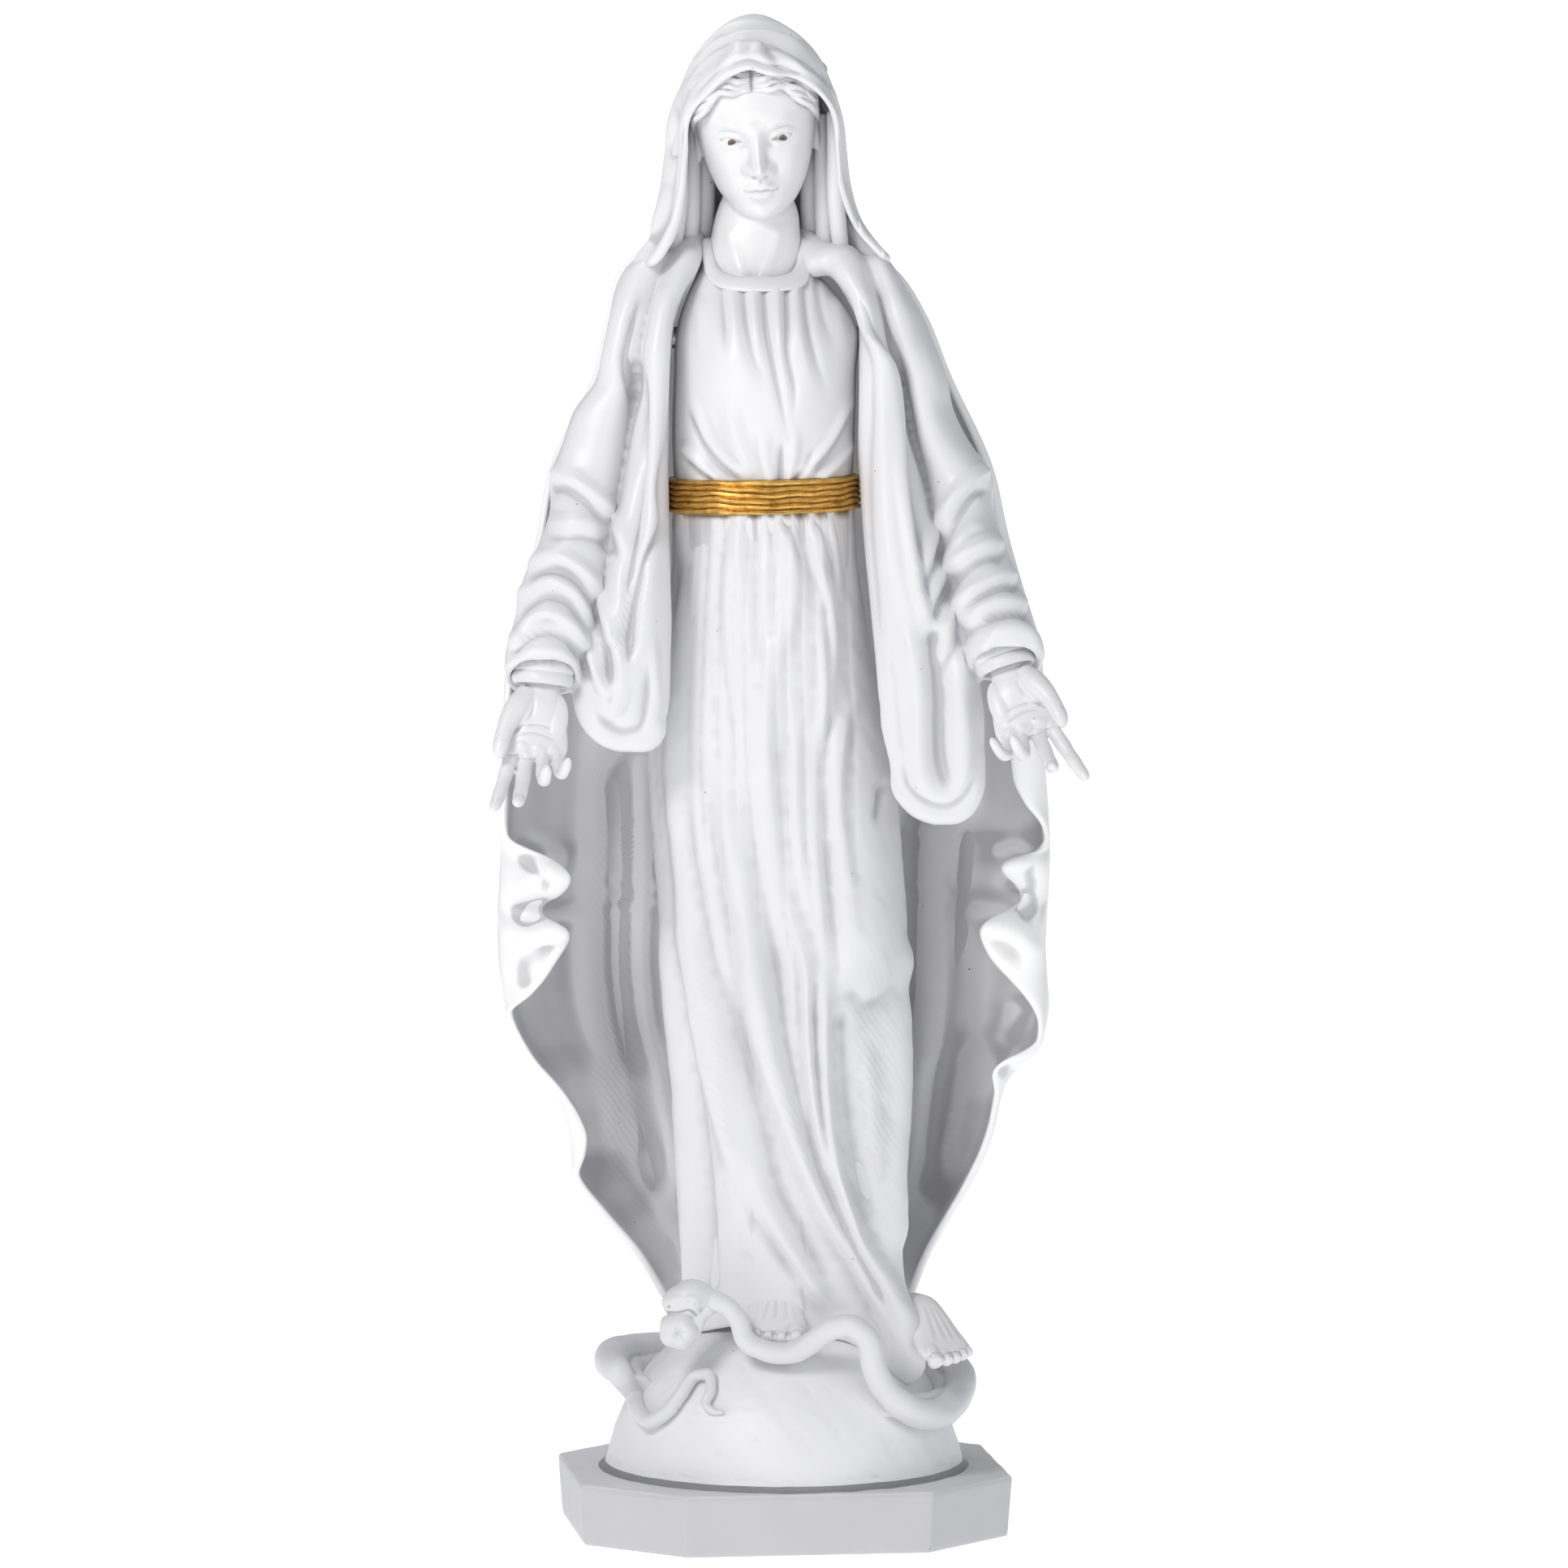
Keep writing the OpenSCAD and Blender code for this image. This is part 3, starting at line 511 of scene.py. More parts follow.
def worked_metal(name, tint, rough, scale):
    """Drawn or turned metal with fine lines and uneven tone."""
    m, shader, where, add, join = nodes_of(name)
    stretch = add("ShaderNodeMapping")
    stretch.inputs["Scale"].default_value = (1, 1, 9)
    join(where, "Object", stretch, "Vector")
    lines = add("ShaderNodeTexNoise", Scale=scale, Detail=5.0)
    join(stretch, "Vector", lines, "Vector")
    tone = add("ShaderNodeMix", data_type="RGBA")
    tone.inputs[6].default_value = (*tint, 1)
    tone.inputs[7].default_value = (*[c * 0.55 for c in tint], 1)
    join(lines, "Fac", tone, 0)
    join(tone, 2, shader, "Base Color")
    shader.inputs["Metallic"].default_value = 1.0
    gloss = ramp_node(add, 0.3, 0.7, rough, rough + 0.15)
    join(lines, "Fac", gloss, "Value")
    join(gloss, "Result", shader, "Roughness")
    relief_node = add("ShaderNodeBump", Strength=0.3, Distance=0.0004)
    join(lines, "Fac", relief_node, "Height")
    join(relief_node, "Normal", shader, "Normal")
    return m


def board_wood(name):
    """Sanded birch plywood: long grain across the board with pale and darker bands."""
    m, shader, where, add, join = nodes_of(name)
    stretch = add("ShaderNodeMapping")
    stretch.inputs["Scale"].default_value = (1, 9, 9)
    join(where, "Object", stretch, "Vector")
    grain = add("ShaderNodeTexNoise", Scale=14.0, Detail=8.0, Distortion=1.2)
    join(stretch, "Vector", grain, "Vector")
    tone = add("ShaderNodeMix", data_type="RGBA")
    tone.inputs[6].default_value = (0.62, 0.44, 0.26, 1)
    tone.inputs[7].default_value = (0.36, 0.22, 0.11, 1)
    join(grain, "Fac", tone, 0)
    join(tone, 2, shader, "Base Color")
    shader.inputs["Roughness"].default_value = 0.7
    relief_node = add("ShaderNodeBump", Strength=0.4, Distance=0.0006)
    join(grain, "Fac", relief_node, "Height")
    join(relief_node, "Normal", shader, "Normal")
    return m


WHITE = cast_white("satin_white_cast")
SKIN_WHITE = cast_white("satin_white_skin", tint=(0.82, 0.815, 0.82), deep=(0.56, 0.555, 0.58), rough=0.36,
                        streak=0.35)
# darker copy of the white paint for the plinth, serpent and apple: painted shade for the low parts
SHADED_BASE_WHITE = cast_white("satin_white_base_shaded", tint=(0.76, 0.76, 0.775), deep=(0.48, 0.48, 0.50), rough=0.5,
                        streak=0.6)
# lighter copy of the white paint for the mantle: painted light on its shaded inside
LIT_MANTLE_WHITE = cast_white("satin_white_mantle_lit", tint=(0.94, 0.94, 0.945), deep=(0.60, 0.60, 0.62))
# lighter copy of the white paint for the globe: painted light where little lamp light reaches
LIT_GLOBE_WHITE = cast_white("satin_white_globe_lit", tint=(0.88, 0.88, 0.885), deep=(0.56, 0.56, 0.57), rough=0.48)
GOLD = leaf_gold("gold_leaf_sash")
EYE = iris_glass("brown_glass_eye")
STEEL = worked_metal("drawn_steel", (0.56, 0.57, 0.60), 0.28, 120.0)
BRASS = worked_metal("turned_brass", (0.80, 0.58, 0.26), 0.25, 160.0)
PLY = board_wood("birch_plywood")

for node, finish in (("base_board", PLY), ("board_screws", BRASS), ("spine_flange", STEEL),
                     ("flange_bolts", STEEL), ("flange_nuts", STEEL), ("spine_tube", STEEL),
                     ("shoulder_tee", STEEL), ("shoulder_bar", STEEL), ("neck_rod", STEEL),
                     ("arm_tube_right", STEEL), ("arm_tube_left", STEEL), ("hand_socket_right", BRASS),
                     ("hand_socket_left", BRASS), ("hand_peg_right", STEEL), ("hand_peg_left", STEEL)):
    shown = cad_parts[node]
    shown.data.materials.clear()
    shown.data.materials.append(finish)


# ---------- plinth and globe ----------
def plinth():
    w, d, cut = PLINTH_W, PLINTH_D, PLINTH_CUT
    corners = [(-w / 2 + cut, -d / 2), (w / 2 - cut, -d / 2), (w / 2, -d / 2 + cut), (w / 2, d / 2 - cut),
               (w / 2 - cut, d / 2), (-w / 2 + cut, d / 2), (-w / 2, d / 2 - cut), (-w / 2, -d / 2 + cut)]
    line = []
    for k, c in enumerate(corners):
        a = np.array(corners[k - 1])
        b = np.array(corners[(k + 1) % 8])
        c = np.array(c)
        u = (a - c) / np.linalg.norm(a - c)
        v = (b - c) / np.linalg.norm(b - c)
        for s in np.linspace(0, 1, 5):
            line.append((1 - s) ** 2 * (c + 3 * u) + 2 * s * (1 - s) * c + s * s * (c + 3 * v))
        span = np.linalg.norm(b - c)
        for s in np.linspace(3, span - 3, 34)[1:-1]:
            line.append(c + v * s)
    line = np.array(line)
    length = np.linalg.norm(line, axis=1)[:, None]
    unit = line / length
    profile = [(0, 5.5), (1.2, 4.6), (4, 4.2)] + [(z, 4.2 * (1 - z / 70)) for z in np.linspace(8, 66, 14)]
    profile += [(69.5, 0.2), (71.8, 1.0), (73, 2.8)]
    rings = [np.c_[line * (1 - 2 * inset / (w + d) * 2), np.full(len(line), z)] for z, inset in profile]
    for s in np.linspace(0.03, 1, 26):
        flat = line * (1 - 2 * 2.8 / (w + d) * 2)
        ring = flat * (1 - s) + unit * 205 * s
        rings.append(np.c_[ring, np.full(len(line), PLINTH_H)])
    R = np.array(rings)
    under = [np.c_[line * s, np.zeros(len(line))] for s in (0.86, 0.95)]
    R = np.concatenate([np.array(under), R])
    V = R.reshape(-1, 3)
    push = waver(V, 60, 3) * 0.30 + waver(V, 17, 4) * 0.10
    out = np.c_[unit, np.zeros(len(line))]
    V = V + np.tile(out, (len(R), 1)) * push[:, None] * (V[:, 2] > 1)[:, None]
    V[:, 2] += np.where(V[:, 2] > 72, waver(V, 45, 5) * 0.25, 0)
    F = band_faces(len(R), len(line))
    # painted shade: the sides and foot of the plinth are darker than its top
    return piece("plinth_cast", V, F, SHADED_BASE_WHITE, nodes=["plinth"], turned=False,
                 hollow=0.55 * ramp(73 - V[:, 2], 0.5, 3.5))


def globe():
    n = GLOBE_AROUND
    foot = [(222, PLINTH_H), (217.5, 74.5), (214.6, 78), (213.2, 83)]
    rows = foot + [(GLOBE_R * math.cos(a), GLOBE_Z + GLOBE_R * math.sin(a))
                   for a in np.linspace(math.radians(9.6), math.radians(89.7), 134)]
    t = np.linspace(0, 2 * math.pi, n, endpoint=False)
    R = np.array([np.c_[r * np.cos(t), r * np.sin(t), np.full(n, z)] for r, z in rows])
    V = R.reshape(-1, 3)
    N = V - [0, 0, GLOBE_Z]
    N /= np.linalg.norm(N, axis=1)[:, None]
    high = ramp(V[:, 2], 74, 90)
    V = V + N * ((waver(V, 120, 6) * 0.9 + waver(V, 34, 7) * 0.35 + waver(V, 13, 8) * 0.12) * high)[:, None]
    return piece("globe_cast", V, band_faces(len(rows), n), LIT_GLOBE_WHITE, nodes=["globe"],
                 turned=False)


plinth()
globe()


# ---------- gown ----------
SKIRT = np.array([  # height, middle across, middle fore and aft, half width, half depth
    (180, 12, 0, 124, 98), (300, 12, 0, 125, 104), (400, 12, 0, 132, 113), (520, 11, 0, 139, 120),
    (650, 3, 0, 145, 119), (800, -6, 0, 148, 116), (950, -18, 0, 144, 110), (1080, -22, 0, 122, 102),
    (1160, -23, 0, 110, 92), (1214, -24, 0, 108, 84)], float)
SKIRT_FOLDS = [
    # gathers under the sash
    fold([(-33, 1216), (-34, 1168), (-33, 1096), (-29, 1020)], -4.5, 6, 9, (0, 0.6)),
    fold([(-92, 1216), (-97, 1122), (-90, 1019), (-74, 917), (-51, 800)], -3.5, 11, 16, (0, 0.4)),
    fold([(-110, 1216), (-118, 1150), (-116, 1060)], -4.0, 7, 9, (0, 0.6)),
    fold([(-69, 1216), (-78, 1127), (-72, 1035), (-59, 942), (-41, 840)], -3.4, 7, 12, (0, 0.5)),
    fold([(-2, 1216), (11, 1158), (6, 1101), (-14, 1045), (-21, 968), (-17, 865), (6, 737)], 5.5, 14, 14,
         (0.05, 0.4)),
    fold([(-15, 1216), (-12, 1172)], -3.2, 4, 4, (0, 0.7)),
    fold([(23, 1216), (29, 1168), (43, 1122), (53, 1066), (55, 1005)], -5.5, 5, 9, (0, 0.4)),
    fold([(45, 1216), (58, 1168), (62, 1120)], -4.5, 4.5, 6, (0, 0.6)),
    fold([(37, 1216), (41, 1148), (48, 1081), (46, 994), (40, 891), (41, 788), (53, 640)], 5.5, 12, 9,
         (0.05, 0.2)),
    fold([(4, 1216), (16, 1180), (24, 1130)], -3.0, 4, 5, (0, 0.6)),
    fold([(70, 1216), (78, 1150), (84, 1080)], -2.5, 6, 8, (0, 0.6)),
    fold([(-52, 1216), (-55, 1180), (-54, 1130)], 2.2, 6, 6, (0, 0.6)),
    # long falls of the front
    fold([(65, 1004), (50, 953), (48, 865), (55, 763), (65, 640)], -7.0, 7, 12, (0.2, 0.3)),
    fold([(89, 1019), (71, 963), (63, 891), (71, 788), (78, 680)], 4.5, 9, 12, (0.2, 0.4)),
    fold([(120, 906), (107, 845)], -4.5, 8, 6, (0.3, 0.5)),
    fold([(0, 1010), (-2, 930), (6, 830), (30, 700)], -4.0, 9, 12, (0.3, 0.3)),
    fold([(20, 1020), (14, 930), (16, 830), (30, 720)], 3.4, 8, 10, (0.3, 0.3)),
    fold([(-126, 1199), (-138, 1096), (-148, 994), (-153, 911), (-144, 809), (-129, 686), (-118, 560)],
         -6.0, 8, 11, (0.1, 0.3)),
    fold([(-82, 990), (-67, 865), (-41, 737), (-20, 640), (8, 520)], 7.5, 16, 14, (0.35, 0.25)),
    fold([(-100, 960), (-92, 865), (-72, 750), (-50, 662), (-24, 560)], -5.0, 9, 13, (0.4, 0.25)),
    fold([(-124, 940), (-113, 814), (-92, 711), (-72, 620)], -7.0, 10, 14, (0.4, 0.3)),
    fold([(-40, 900), (-30, 800), (-12, 700), (6, 620)], -4.5, 8, 11, (0.4, 0.3)),
    # the sweep down to the trailing corner
    fold([(-136, 800), (-116, 689), (-95, 598), (-68, 499), (-27, 399), (14, 336), (60, 268)], 11, 22, 13,
         (0.3, 0.08)),
    fold([(-70, 760), (-50, 689), (-31, 607), (-4, 530), (23, 454), (55, 381), (92, 322), (128, 254),
          (156, 196)], 15, 24, 12, (0.2, 0)),
    fold([(2, 780), (23, 689), (28, 598), (37, 517), (55, 435), (78, 372), (110, 318), (150, 226)], 11, 12, 7,
         (0.25, 0.1)),
    fold([(-90, 720), (-72, 662), (-45, 571), (-25, 494), (-4, 417), (28, 354), (58, 296), (80, 262)], -9,
         13, 11, (0.25, 0.2)),
    fold([(-18, 760), (-9, 689), (1, 607), (19, 526), (39, 454), (69, 381), (101, 322), (132, 262)], -8, 9, 8,
         (0.25, 0.1)),
    fold([(46, 700), (48, 576), (53, 508), (67, 417), (87, 363), (112, 322)], 9, 11, 8, (0.2, 0.2)),
    fold([(34, 690), (38, 576), (46, 490), (62, 410), (92, 350)], -6, 7, 6, (0.2, 0.3)),
    # left side
    fold([(-150, 760), (-150, 689), (-136, 576), (-123, 463), (-114, 372), (-111, 300)], 9, 14, 8, (0.2, 0)),
    fold([(-127, 720), (-109, 553), (-95, 435), (-88, 300)], -9, 9, 14, (0.2, 0)),
    fold([(-84, 640), (-70, 520), (-58, 420), (-48, 330)], 4, 15, 15, (0.3, 0.2)),
    fold([(-60, 480), (-30, 400), (-6, 345), (20, 302)], -5, 10, 12, (0.3, 0.2)),
    # knee and the hollow below it
    fold([(60, 668), (78, 652), (101, 636), (128, 646), (146, 680)], -5, 12, 26, (0.3, 0.3)),
    fold([(150, 720), (151, 660), (149, 576), (149, 499), (142, 417), (146, 330)], 9, 10, 16, (0.1, 0.1)),
    fold([(70, 640), (80, 540), (94, 440), (112, 370)], -7, 10, 20, (0.1, 0.2)),
    fold([(100, 610), (112, 520), (122, 430)], 3.5, 12, 10, (0.3, 0.3)),
]


def fine_pleats():
    """Narrow pleats that leave the sash side by side and lean towards her left as they fall."""
    rng = np.random.default_rng(5)
    lines = []
    for x in np.arange(-106, 78, 16.0):
        x = x + rng.uniform(-5, 5)
        low = rng.uniform(560, 980)
        lean = rng.uniform(8, 26) if x < 20 else rng.uniform(-6, 6)
        way = [(x, 1216), (x * 1.04 - 3, 1090), (x * 1.10, 950), (x * 1.10 + lean * 0.5, 800),
               (x * 1.08 + lean, low - 60)]
        lines.append(fold(way, rng.uniform(-2.6, -1.4), 4.2, rng.uniform(9, 13), (0.02, 0.45)))
    return lines


SKIRT_LUMPS = [(94, 716, 42, 62, 17), (92, 800, 50, 90, 6), (104, 520, 42, 130, -15), (-20, 800, 60, 160, 3),
               (-60, 1120, 60, 60, 3), (40, 1120, 60, 60, 3)]


def section(rows, z):
    return [hermite(rows[:, 0], rows[:, k], z) for k in range(1, rows.shape[1])]


def front_angles(n, dense=0.5):
    """n directions round a body from the back, packed closer at the front (0 is straight forward)."""
    s = np.linspace(-1, 1, n, endpoint=False)
    return math.pi * (dense * s + (1 - dense) * s ** 3)


def skirt():
    cols, rows = 308, 312
    a = front_angles(cols)
    low = section(SKIRT, np.full(cols, 300.0))
    train = 44 * bump(a - math.radians(54), 0.26)
    hx = low[0] + (low[2] + train) * np.sin(a)
    hy = low[1] - (low[3] + train) * np.cos(a)
    hz = np.maximum(dome(np.hypot(hx, hy)) + 6, 278 * (1 - ramp(np.abs(a + 0.15), 0.20, 0.44)))
    hz += 8 * ramp(a, -1.2, -0.5) * (1 - ramp(a, -0.5, -0.3))
    u = np.linspace(0, 1, rows)[:, None]
    z = hz + (1226 - hz) * u
    xc, yc, w, d = section(SKIRT, z)
    behind = ramp(np.abs(a), 1.5, 2.2) * ramp(1200 - z, 0, 300)
    out = train * (1 - ramp(z, hz, hz + 330)) + 4 * np.sin(9 * a) * behind
    G = np.stack([xc + (w + out) * np.sin(a), yc - (d + out) * np.cos(a), z], axis=-1)
    inner = [G[0] * [1, 1, 1] + np.stack([-s * np.sin(a), s * np.cos(a), np.full(cols, r)], axis=-1)
             for s, r in ((10, 2.0), (8, 0.0), (4, -1.6))]
    lip = G[-1] + np.stack([-8 * np.sin(a), 8 * np.cos(a), 0 * a], axis=-1)
    G = np.concatenate([np.array(inner), G, lip[None]])
    V = G.reshape(-1, 3)
    F = band_faces(rows + 4, cols)
    Q = F
    V, D = carve(V, Q, deeper(SKIRT_FOLDS, 1.5) + fine_pleats(), SKIRT_LUMPS, (-34, 30))
    V = V + normals(V, Q) * (waver(V, 70, 11) * 0.5 + waver(V, 24, 12) * 0.22)[:, None]
    V = relax(V, Q, 2)
    x, z = V[:, 0], V[:, 2]
    tool = bump(x - 95, 40) * bump(z - 500, 160)
    tool = tool + bump(x + 95 - (600 - z) * 0.1, 26) * bump(z - 520, 190)
    tool = tool + bump(x - 20 + (z - 480) * 0.35, 16) * bump(z - 500, 110)
    tool *= ramp(-normals(V, Q)[:, 1], 0.1, 0.4)
    # painted shade: darker in the creases and down the fold valleys
    return piece("gown_skirt_cast", V, F, WHITE, nodes=["gown_skirt"], tool=tool * 0.45,
                 hollow=0.9 * crease_shade(V, Q) + np.clip(-D * 0.008, 0, 0.2))


BODICE = np.array([
    (1246, -24, 0, 106, 82), (1300, -24, -2, 108, 92), (1380, -22, -5, 108, 102), (1440, -20, -4, 106, 97),
    (1486, -28, 0, 82, 73), (1510, -32, 3, 66, 58), (1545, -33, 4, 58, 49)], float)
BODICE_FOLDS = [
    fold([(-108, 1366), (-100, 1336), (-90, 1312), (-70, 1286), (-36, 1258)], 5.5, 7, 9, (0.3, 0.2)),
    fold([(-114, 1350), (-106, 1322), (-94, 1298), (-76, 1276), (-44, 1252)], -5.5, 7, 6, (0.25, 0.2)),
    fold([(-124, 1306), (-103, 1281), (-69, 1258)], 4.5, 6, 7, (0.2, 0.2)),
    fold([(-118, 1284), (-100, 1266), (-80, 1254)], -4, 5, 5, (0.2, 0.2)),
    fold([(80, 1366), (74, 1345), (58, 1312), (37, 1284), (11, 1256)], 6, 9, 7, (0.3, 0.2)),
    fold([(84, 1352), (74, 1322), (56, 1292), (30, 1264)], -5, 6, 7, (0.3, 0.2)),
    fold([(85, 1310), (65, 1281), (37, 1256)], 4.5, 7, 6, (0.3, 0.2)),
    fold([(-2, 1312), (-2, 1252)], -4.5, 3.5, 5, (0.5, 0)),
    fold([(38, 1304), (28, 1278), (9, 1252)], -4, 4, 5, (0.5, 0)),
    fold([(-64, 1370), (-58, 1320), (-34, 1262)], 4, 9, 10, (0.4, 0.2)),
    fold([(-24, 1330), (-22, 1290), (-14, 1252)], 3, 7, 6, (0.4, 0)),
    fold([(14, 1330), (12, 1290), (4, 1252)], 3, 6, 6, (0.4, 0)),
    # gathers hanging from the neckband
    fold([(-24, 1500), (-20, 1440), (-12, 1395), (1, 1332), (6, 1300)], -4.5, 4.5, 6, (0, 0.4)),
    fold([(-50, 1500), (-44, 1440), (-36, 1408), (-17, 1370)], -3.8, 4.5, 7, (0, 0.5)),
    fold([(-78, 1500), (-72, 1450), (-65, 1396)], -3.5, 5, 7, (0, 0.5)),
    fold([(4, 1500), (5, 1445), (4, 1410), (11, 1372), (11, 1318)], -4, 4, 6, (0, 0.4)),
    fold([(24, 1500), (28, 1450), (36, 1400), (54, 1350)], -3.4, 5, 7, (0, 0.5)),
    fold([(-62, 1500), (-58, 1460), (-54, 1420)], 2.6, 6, 6, (0, 0.6)),
    fold([(-36, 1500), (-32, 1440), (-24, 1390)], 2.8, 6, 6, (0, 0.6)),
    fold([(-8, 1500), (-6, 1440), (-2, 1390), (2, 1350)], 3.2, 6, 6, (0, 0.6)),
    fold([(14, 1500), (17, 1450), (22, 1400), (28, 1360)], 2.8, 6, 6, (0, 0.6)),
    fold([(40, 1496), (48, 1450), (62, 1406)], -2.6, 5, 6, (0, 0.6)),
    fold([(60, 1480), (70, 1430), (76, 1390)], 2.4, 8, 7, (0.2, 0.6)),
    fold([(-96, 1480), (-98, 1440), (-96, 1400)], 2.4, 8, 7, (0.2, 0.6)),
]
BODICE_LUMPS = [(-62, 1392, 38, 40, 9), (24, 1392, 38, 40, 9), (-20, 1400, 16, 50, -3),
                (-20, 1270, 80, 24, -3)]


def bodice():
    cols, rows = 240, 190
    a = front_angles(cols, 0.6)
    top = 1536 - 44 * ramp(np.cos(a), 0.0, 1.0)
    z = 1244 + (top - 1244) * np.linspace(0, 1, rows)[:, None]
    xc, yc, w, d = section(BODICE, z)
    G = np.stack([xc + w * np.sin(a), yc - d * np.cos(a), z], axis=-1)
    within = np.stack([-8 * np.sin(a), 8 * np.cos(a), 0 * a], axis=-1)
    G = np.concatenate([(G[0] + within)[None], G, (G[-1] + within)[None]])
    V = G.reshape(-1, 3)
    Q = band_faces(rows + 2, cols)
    V, D = carve(V, Q, deeper(BODICE_FOLDS, 1.3), BODICE_LUMPS, (-20, 22))
    V = relax(V, Q, 2)
    # painted shade: darker in the creases and down the fold valleys
    return piece("gown_bodice_cast", V, Q, WHITE, nodes=["gown_bodice"],
                 hollow=1.2 * crease_shade(V, Q) + np.clip(-D * 0.02, 0, 0.3))


def neckband():
    cols = 220
    a = np.linspace(-math.pi, math.pi, cols, endpoint=False)
    prof = [(0, -3), (0.0, 0), (0.05, 2.2), (0.2, 3.4), (0.5, 3.9), (0.8, 3.4), (0.94, 2.2), (1.0, 0.2),
            (1.0, -4), (0.9, -8)]
    rings = []
    for u, off in prof:
        z = 1526 + 17 * u - 43 * ramp(np.cos(a), 0.0, 1.0)
        xc, yc, w, d = section(BODICE, z)
        rings.append(np.stack([xc + (w + off + 1) * np.sin(a), yc - (d + off + 1) * np.cos(a), z], axis=-1))
    V = np.array(rings).reshape(-1, 3)
    V = V + (waver(V, 20, 21) * 0.25)[:, None]
    return piece("neckband_cast", V, band_faces(len(prof), cols), WHITE, nodes=["neckband"])


def sash():
    cols, rows = 420, 84
    a = front_angles(cols, 0.7)
    u = np.linspace(0, 1, rows)[:, None]
    rng = np.random.default_rng(31)
    lift = 7.0 * ramp(a, -1.3, 1.3)
    z = 1217 + 42 * u + lift * 0.6
    G0 = np.stack([-24 + 109 * np.sin(a) + 0 * u, -85 * np.cos(a) + 0 * u, z], axis=-1)
    drift = 0.030 * np.sin(3 * a + 1.0) + 0.022 * np.sin(7 * a + 2.2) + 0.014 * np.sin(15 * a)
    level = u + drift * np.sin(math.pi * u)
    pleat = np.abs(np.sin(math.pi * 6 * level + 0.35 * np.sin(2 * a)))
    fine = 0.5 + 0.5 * np.sin(2 * math.pi * 15 * level + 3 * np.sin(5 * a))
    out = 2.2 + 4.6 * pleat ** 0.55 + 0.7 * fine
    out = out * ramp(u, -0.02, 0.05) * ramp(1 - u, -0.02, 0.05) + rng.normal(0, 0.05, out.shape)
    G = G0 + np.stack([out * np.sin(a), -out * np.cos(a), 0 * out], axis=-1)
    within = np.stack([-9 * np.sin(a), 9 * np.cos(a), 0 * a], axis=-1)
    G = np.concatenate([(G[0] + within)[None], G, (G[-1] + within)[None]])
    V = G.reshape(-1, 3)
    # painted shade between the pleats of the gilt
    pleat_shade = np.clip(1.0 - pleat ** 0.5 * 1.5, 0, 1) * np.ones_like(out)
    pleat_shade = np.concatenate([pleat_shade[:1], pleat_shade, pleat_shade[-1:]])
    return piece("sash_gilt", V, band_faces(rows + 2, cols), GOLD, nodes=["sash"],
                 hollow=pleat_shade.ravel())


skirt()
bodice()
neckband()
sash()


# ---------- mantle in front: sleeves and hanging loops ----------
SLEEVE = {  # height, outer x, inner x, front y, back y
    "right": np.array([
        (1030, -328, -240, -190, -108), (1060, -328, -236, -188, -96), (1105, -316, -224, -168, -66),
        (1144, -307, -214, -150, -36), (1183, -290, -205, -132, -4), (1222, -277, -196, -108, 30),
        (1262, -277, -188, -92, 58), (1300, -262, -182, -84, 66), (1340, -248, -176, -80, 70),
        (1375, -222, -170, -78, 72), (1413, -214, -164, -76, 72), (1452, -206, -156, -68, 70),
        (1490, -197, -148, -56, 66), (1512, -184, -140, -46, 60), (1528, -160, -132, -30, 50)], float),
    "left": np.array([
        (1046, 220, 306, -188, -108), (1075, 214, 302, -186, -96), (1105, 205, 291, -170, -70),
        (1144, 196, 277, -152, -40), (1183, 186, 262, -134, -6), (1222, 176, 249, -108, 30),
        (1262, 166, 248, -92, 58), (1300, 156, 222, -84, 66), (1340, 146, 201, -80, 70),
        (1375, 138, 195, -78, 72), (1413, 128, 181, -76, 72), (1452, 118, 163, -66, 70),
        (1490, 108, 142, -54, 66), (1512, 102, 130, -40, 56), (1526, 98, 118, -20, 44)], float)}
LOOP = {  # height, x next to the arm, x next to the gown, front y, back y
    "right": np.array([
        (947, -196, -160, -146, -124), (951, -208, -151, -152, -112), (962, -224, -143, -157, -104),
        (980, -238, -139, -160, -96), (1010, -246, -137, -162, -70), (1060, -240, -134, -160, -40),
        (1105, -226, -133, -154, -10), (1183, -207, -135, -140, 30), (1262, -190, -136, -122, 60),
        (1340, -178, -135, -110, 66), (1413, -166, -133, -103, 66), (1445, -160, -129, -95, 66),
        (1470, -154, -121, -86, 66), (1505, -142, -106, -68, 62), (1536, -124, -101, -42, 50)], float),
    "left": np.array([
        (861, 172, 208, -146, -126), (866, 156, 218, -152, -114), (880, 141, 228, -158, -100),
        (930, 127, 236, -164, -80), (1000, 114, 236, -162, -60), (1060, 108, 222, -158, -40),
        (1105, 103, 208, -152, -10), (1183, 96, 186, -138, 30), (1262, 90, 166, -120, 60),
        (1340, 88, 147, -108, 66), (1413, 89, 130, -102, 66), (1445, 88, 120, -94, 66),
        (1470, 76, 113, -86, 66), (1505, 54, 102, -68, 62), (1536, 44, 84, -42, 50)], float)}
WRIST = {"right": np.array((-284.0, -152.0, 1026.0)), "left": np.array((263.0, -150.0, 1044.0))}
REACH = {"right": np.array((-0.09, -0.36, -0.93)), "left": np.array((0.28, -0.46, -0.84))}
for side_name in REACH:
    REACH[side_name] /= np.linalg.norm(REACH[side_name])

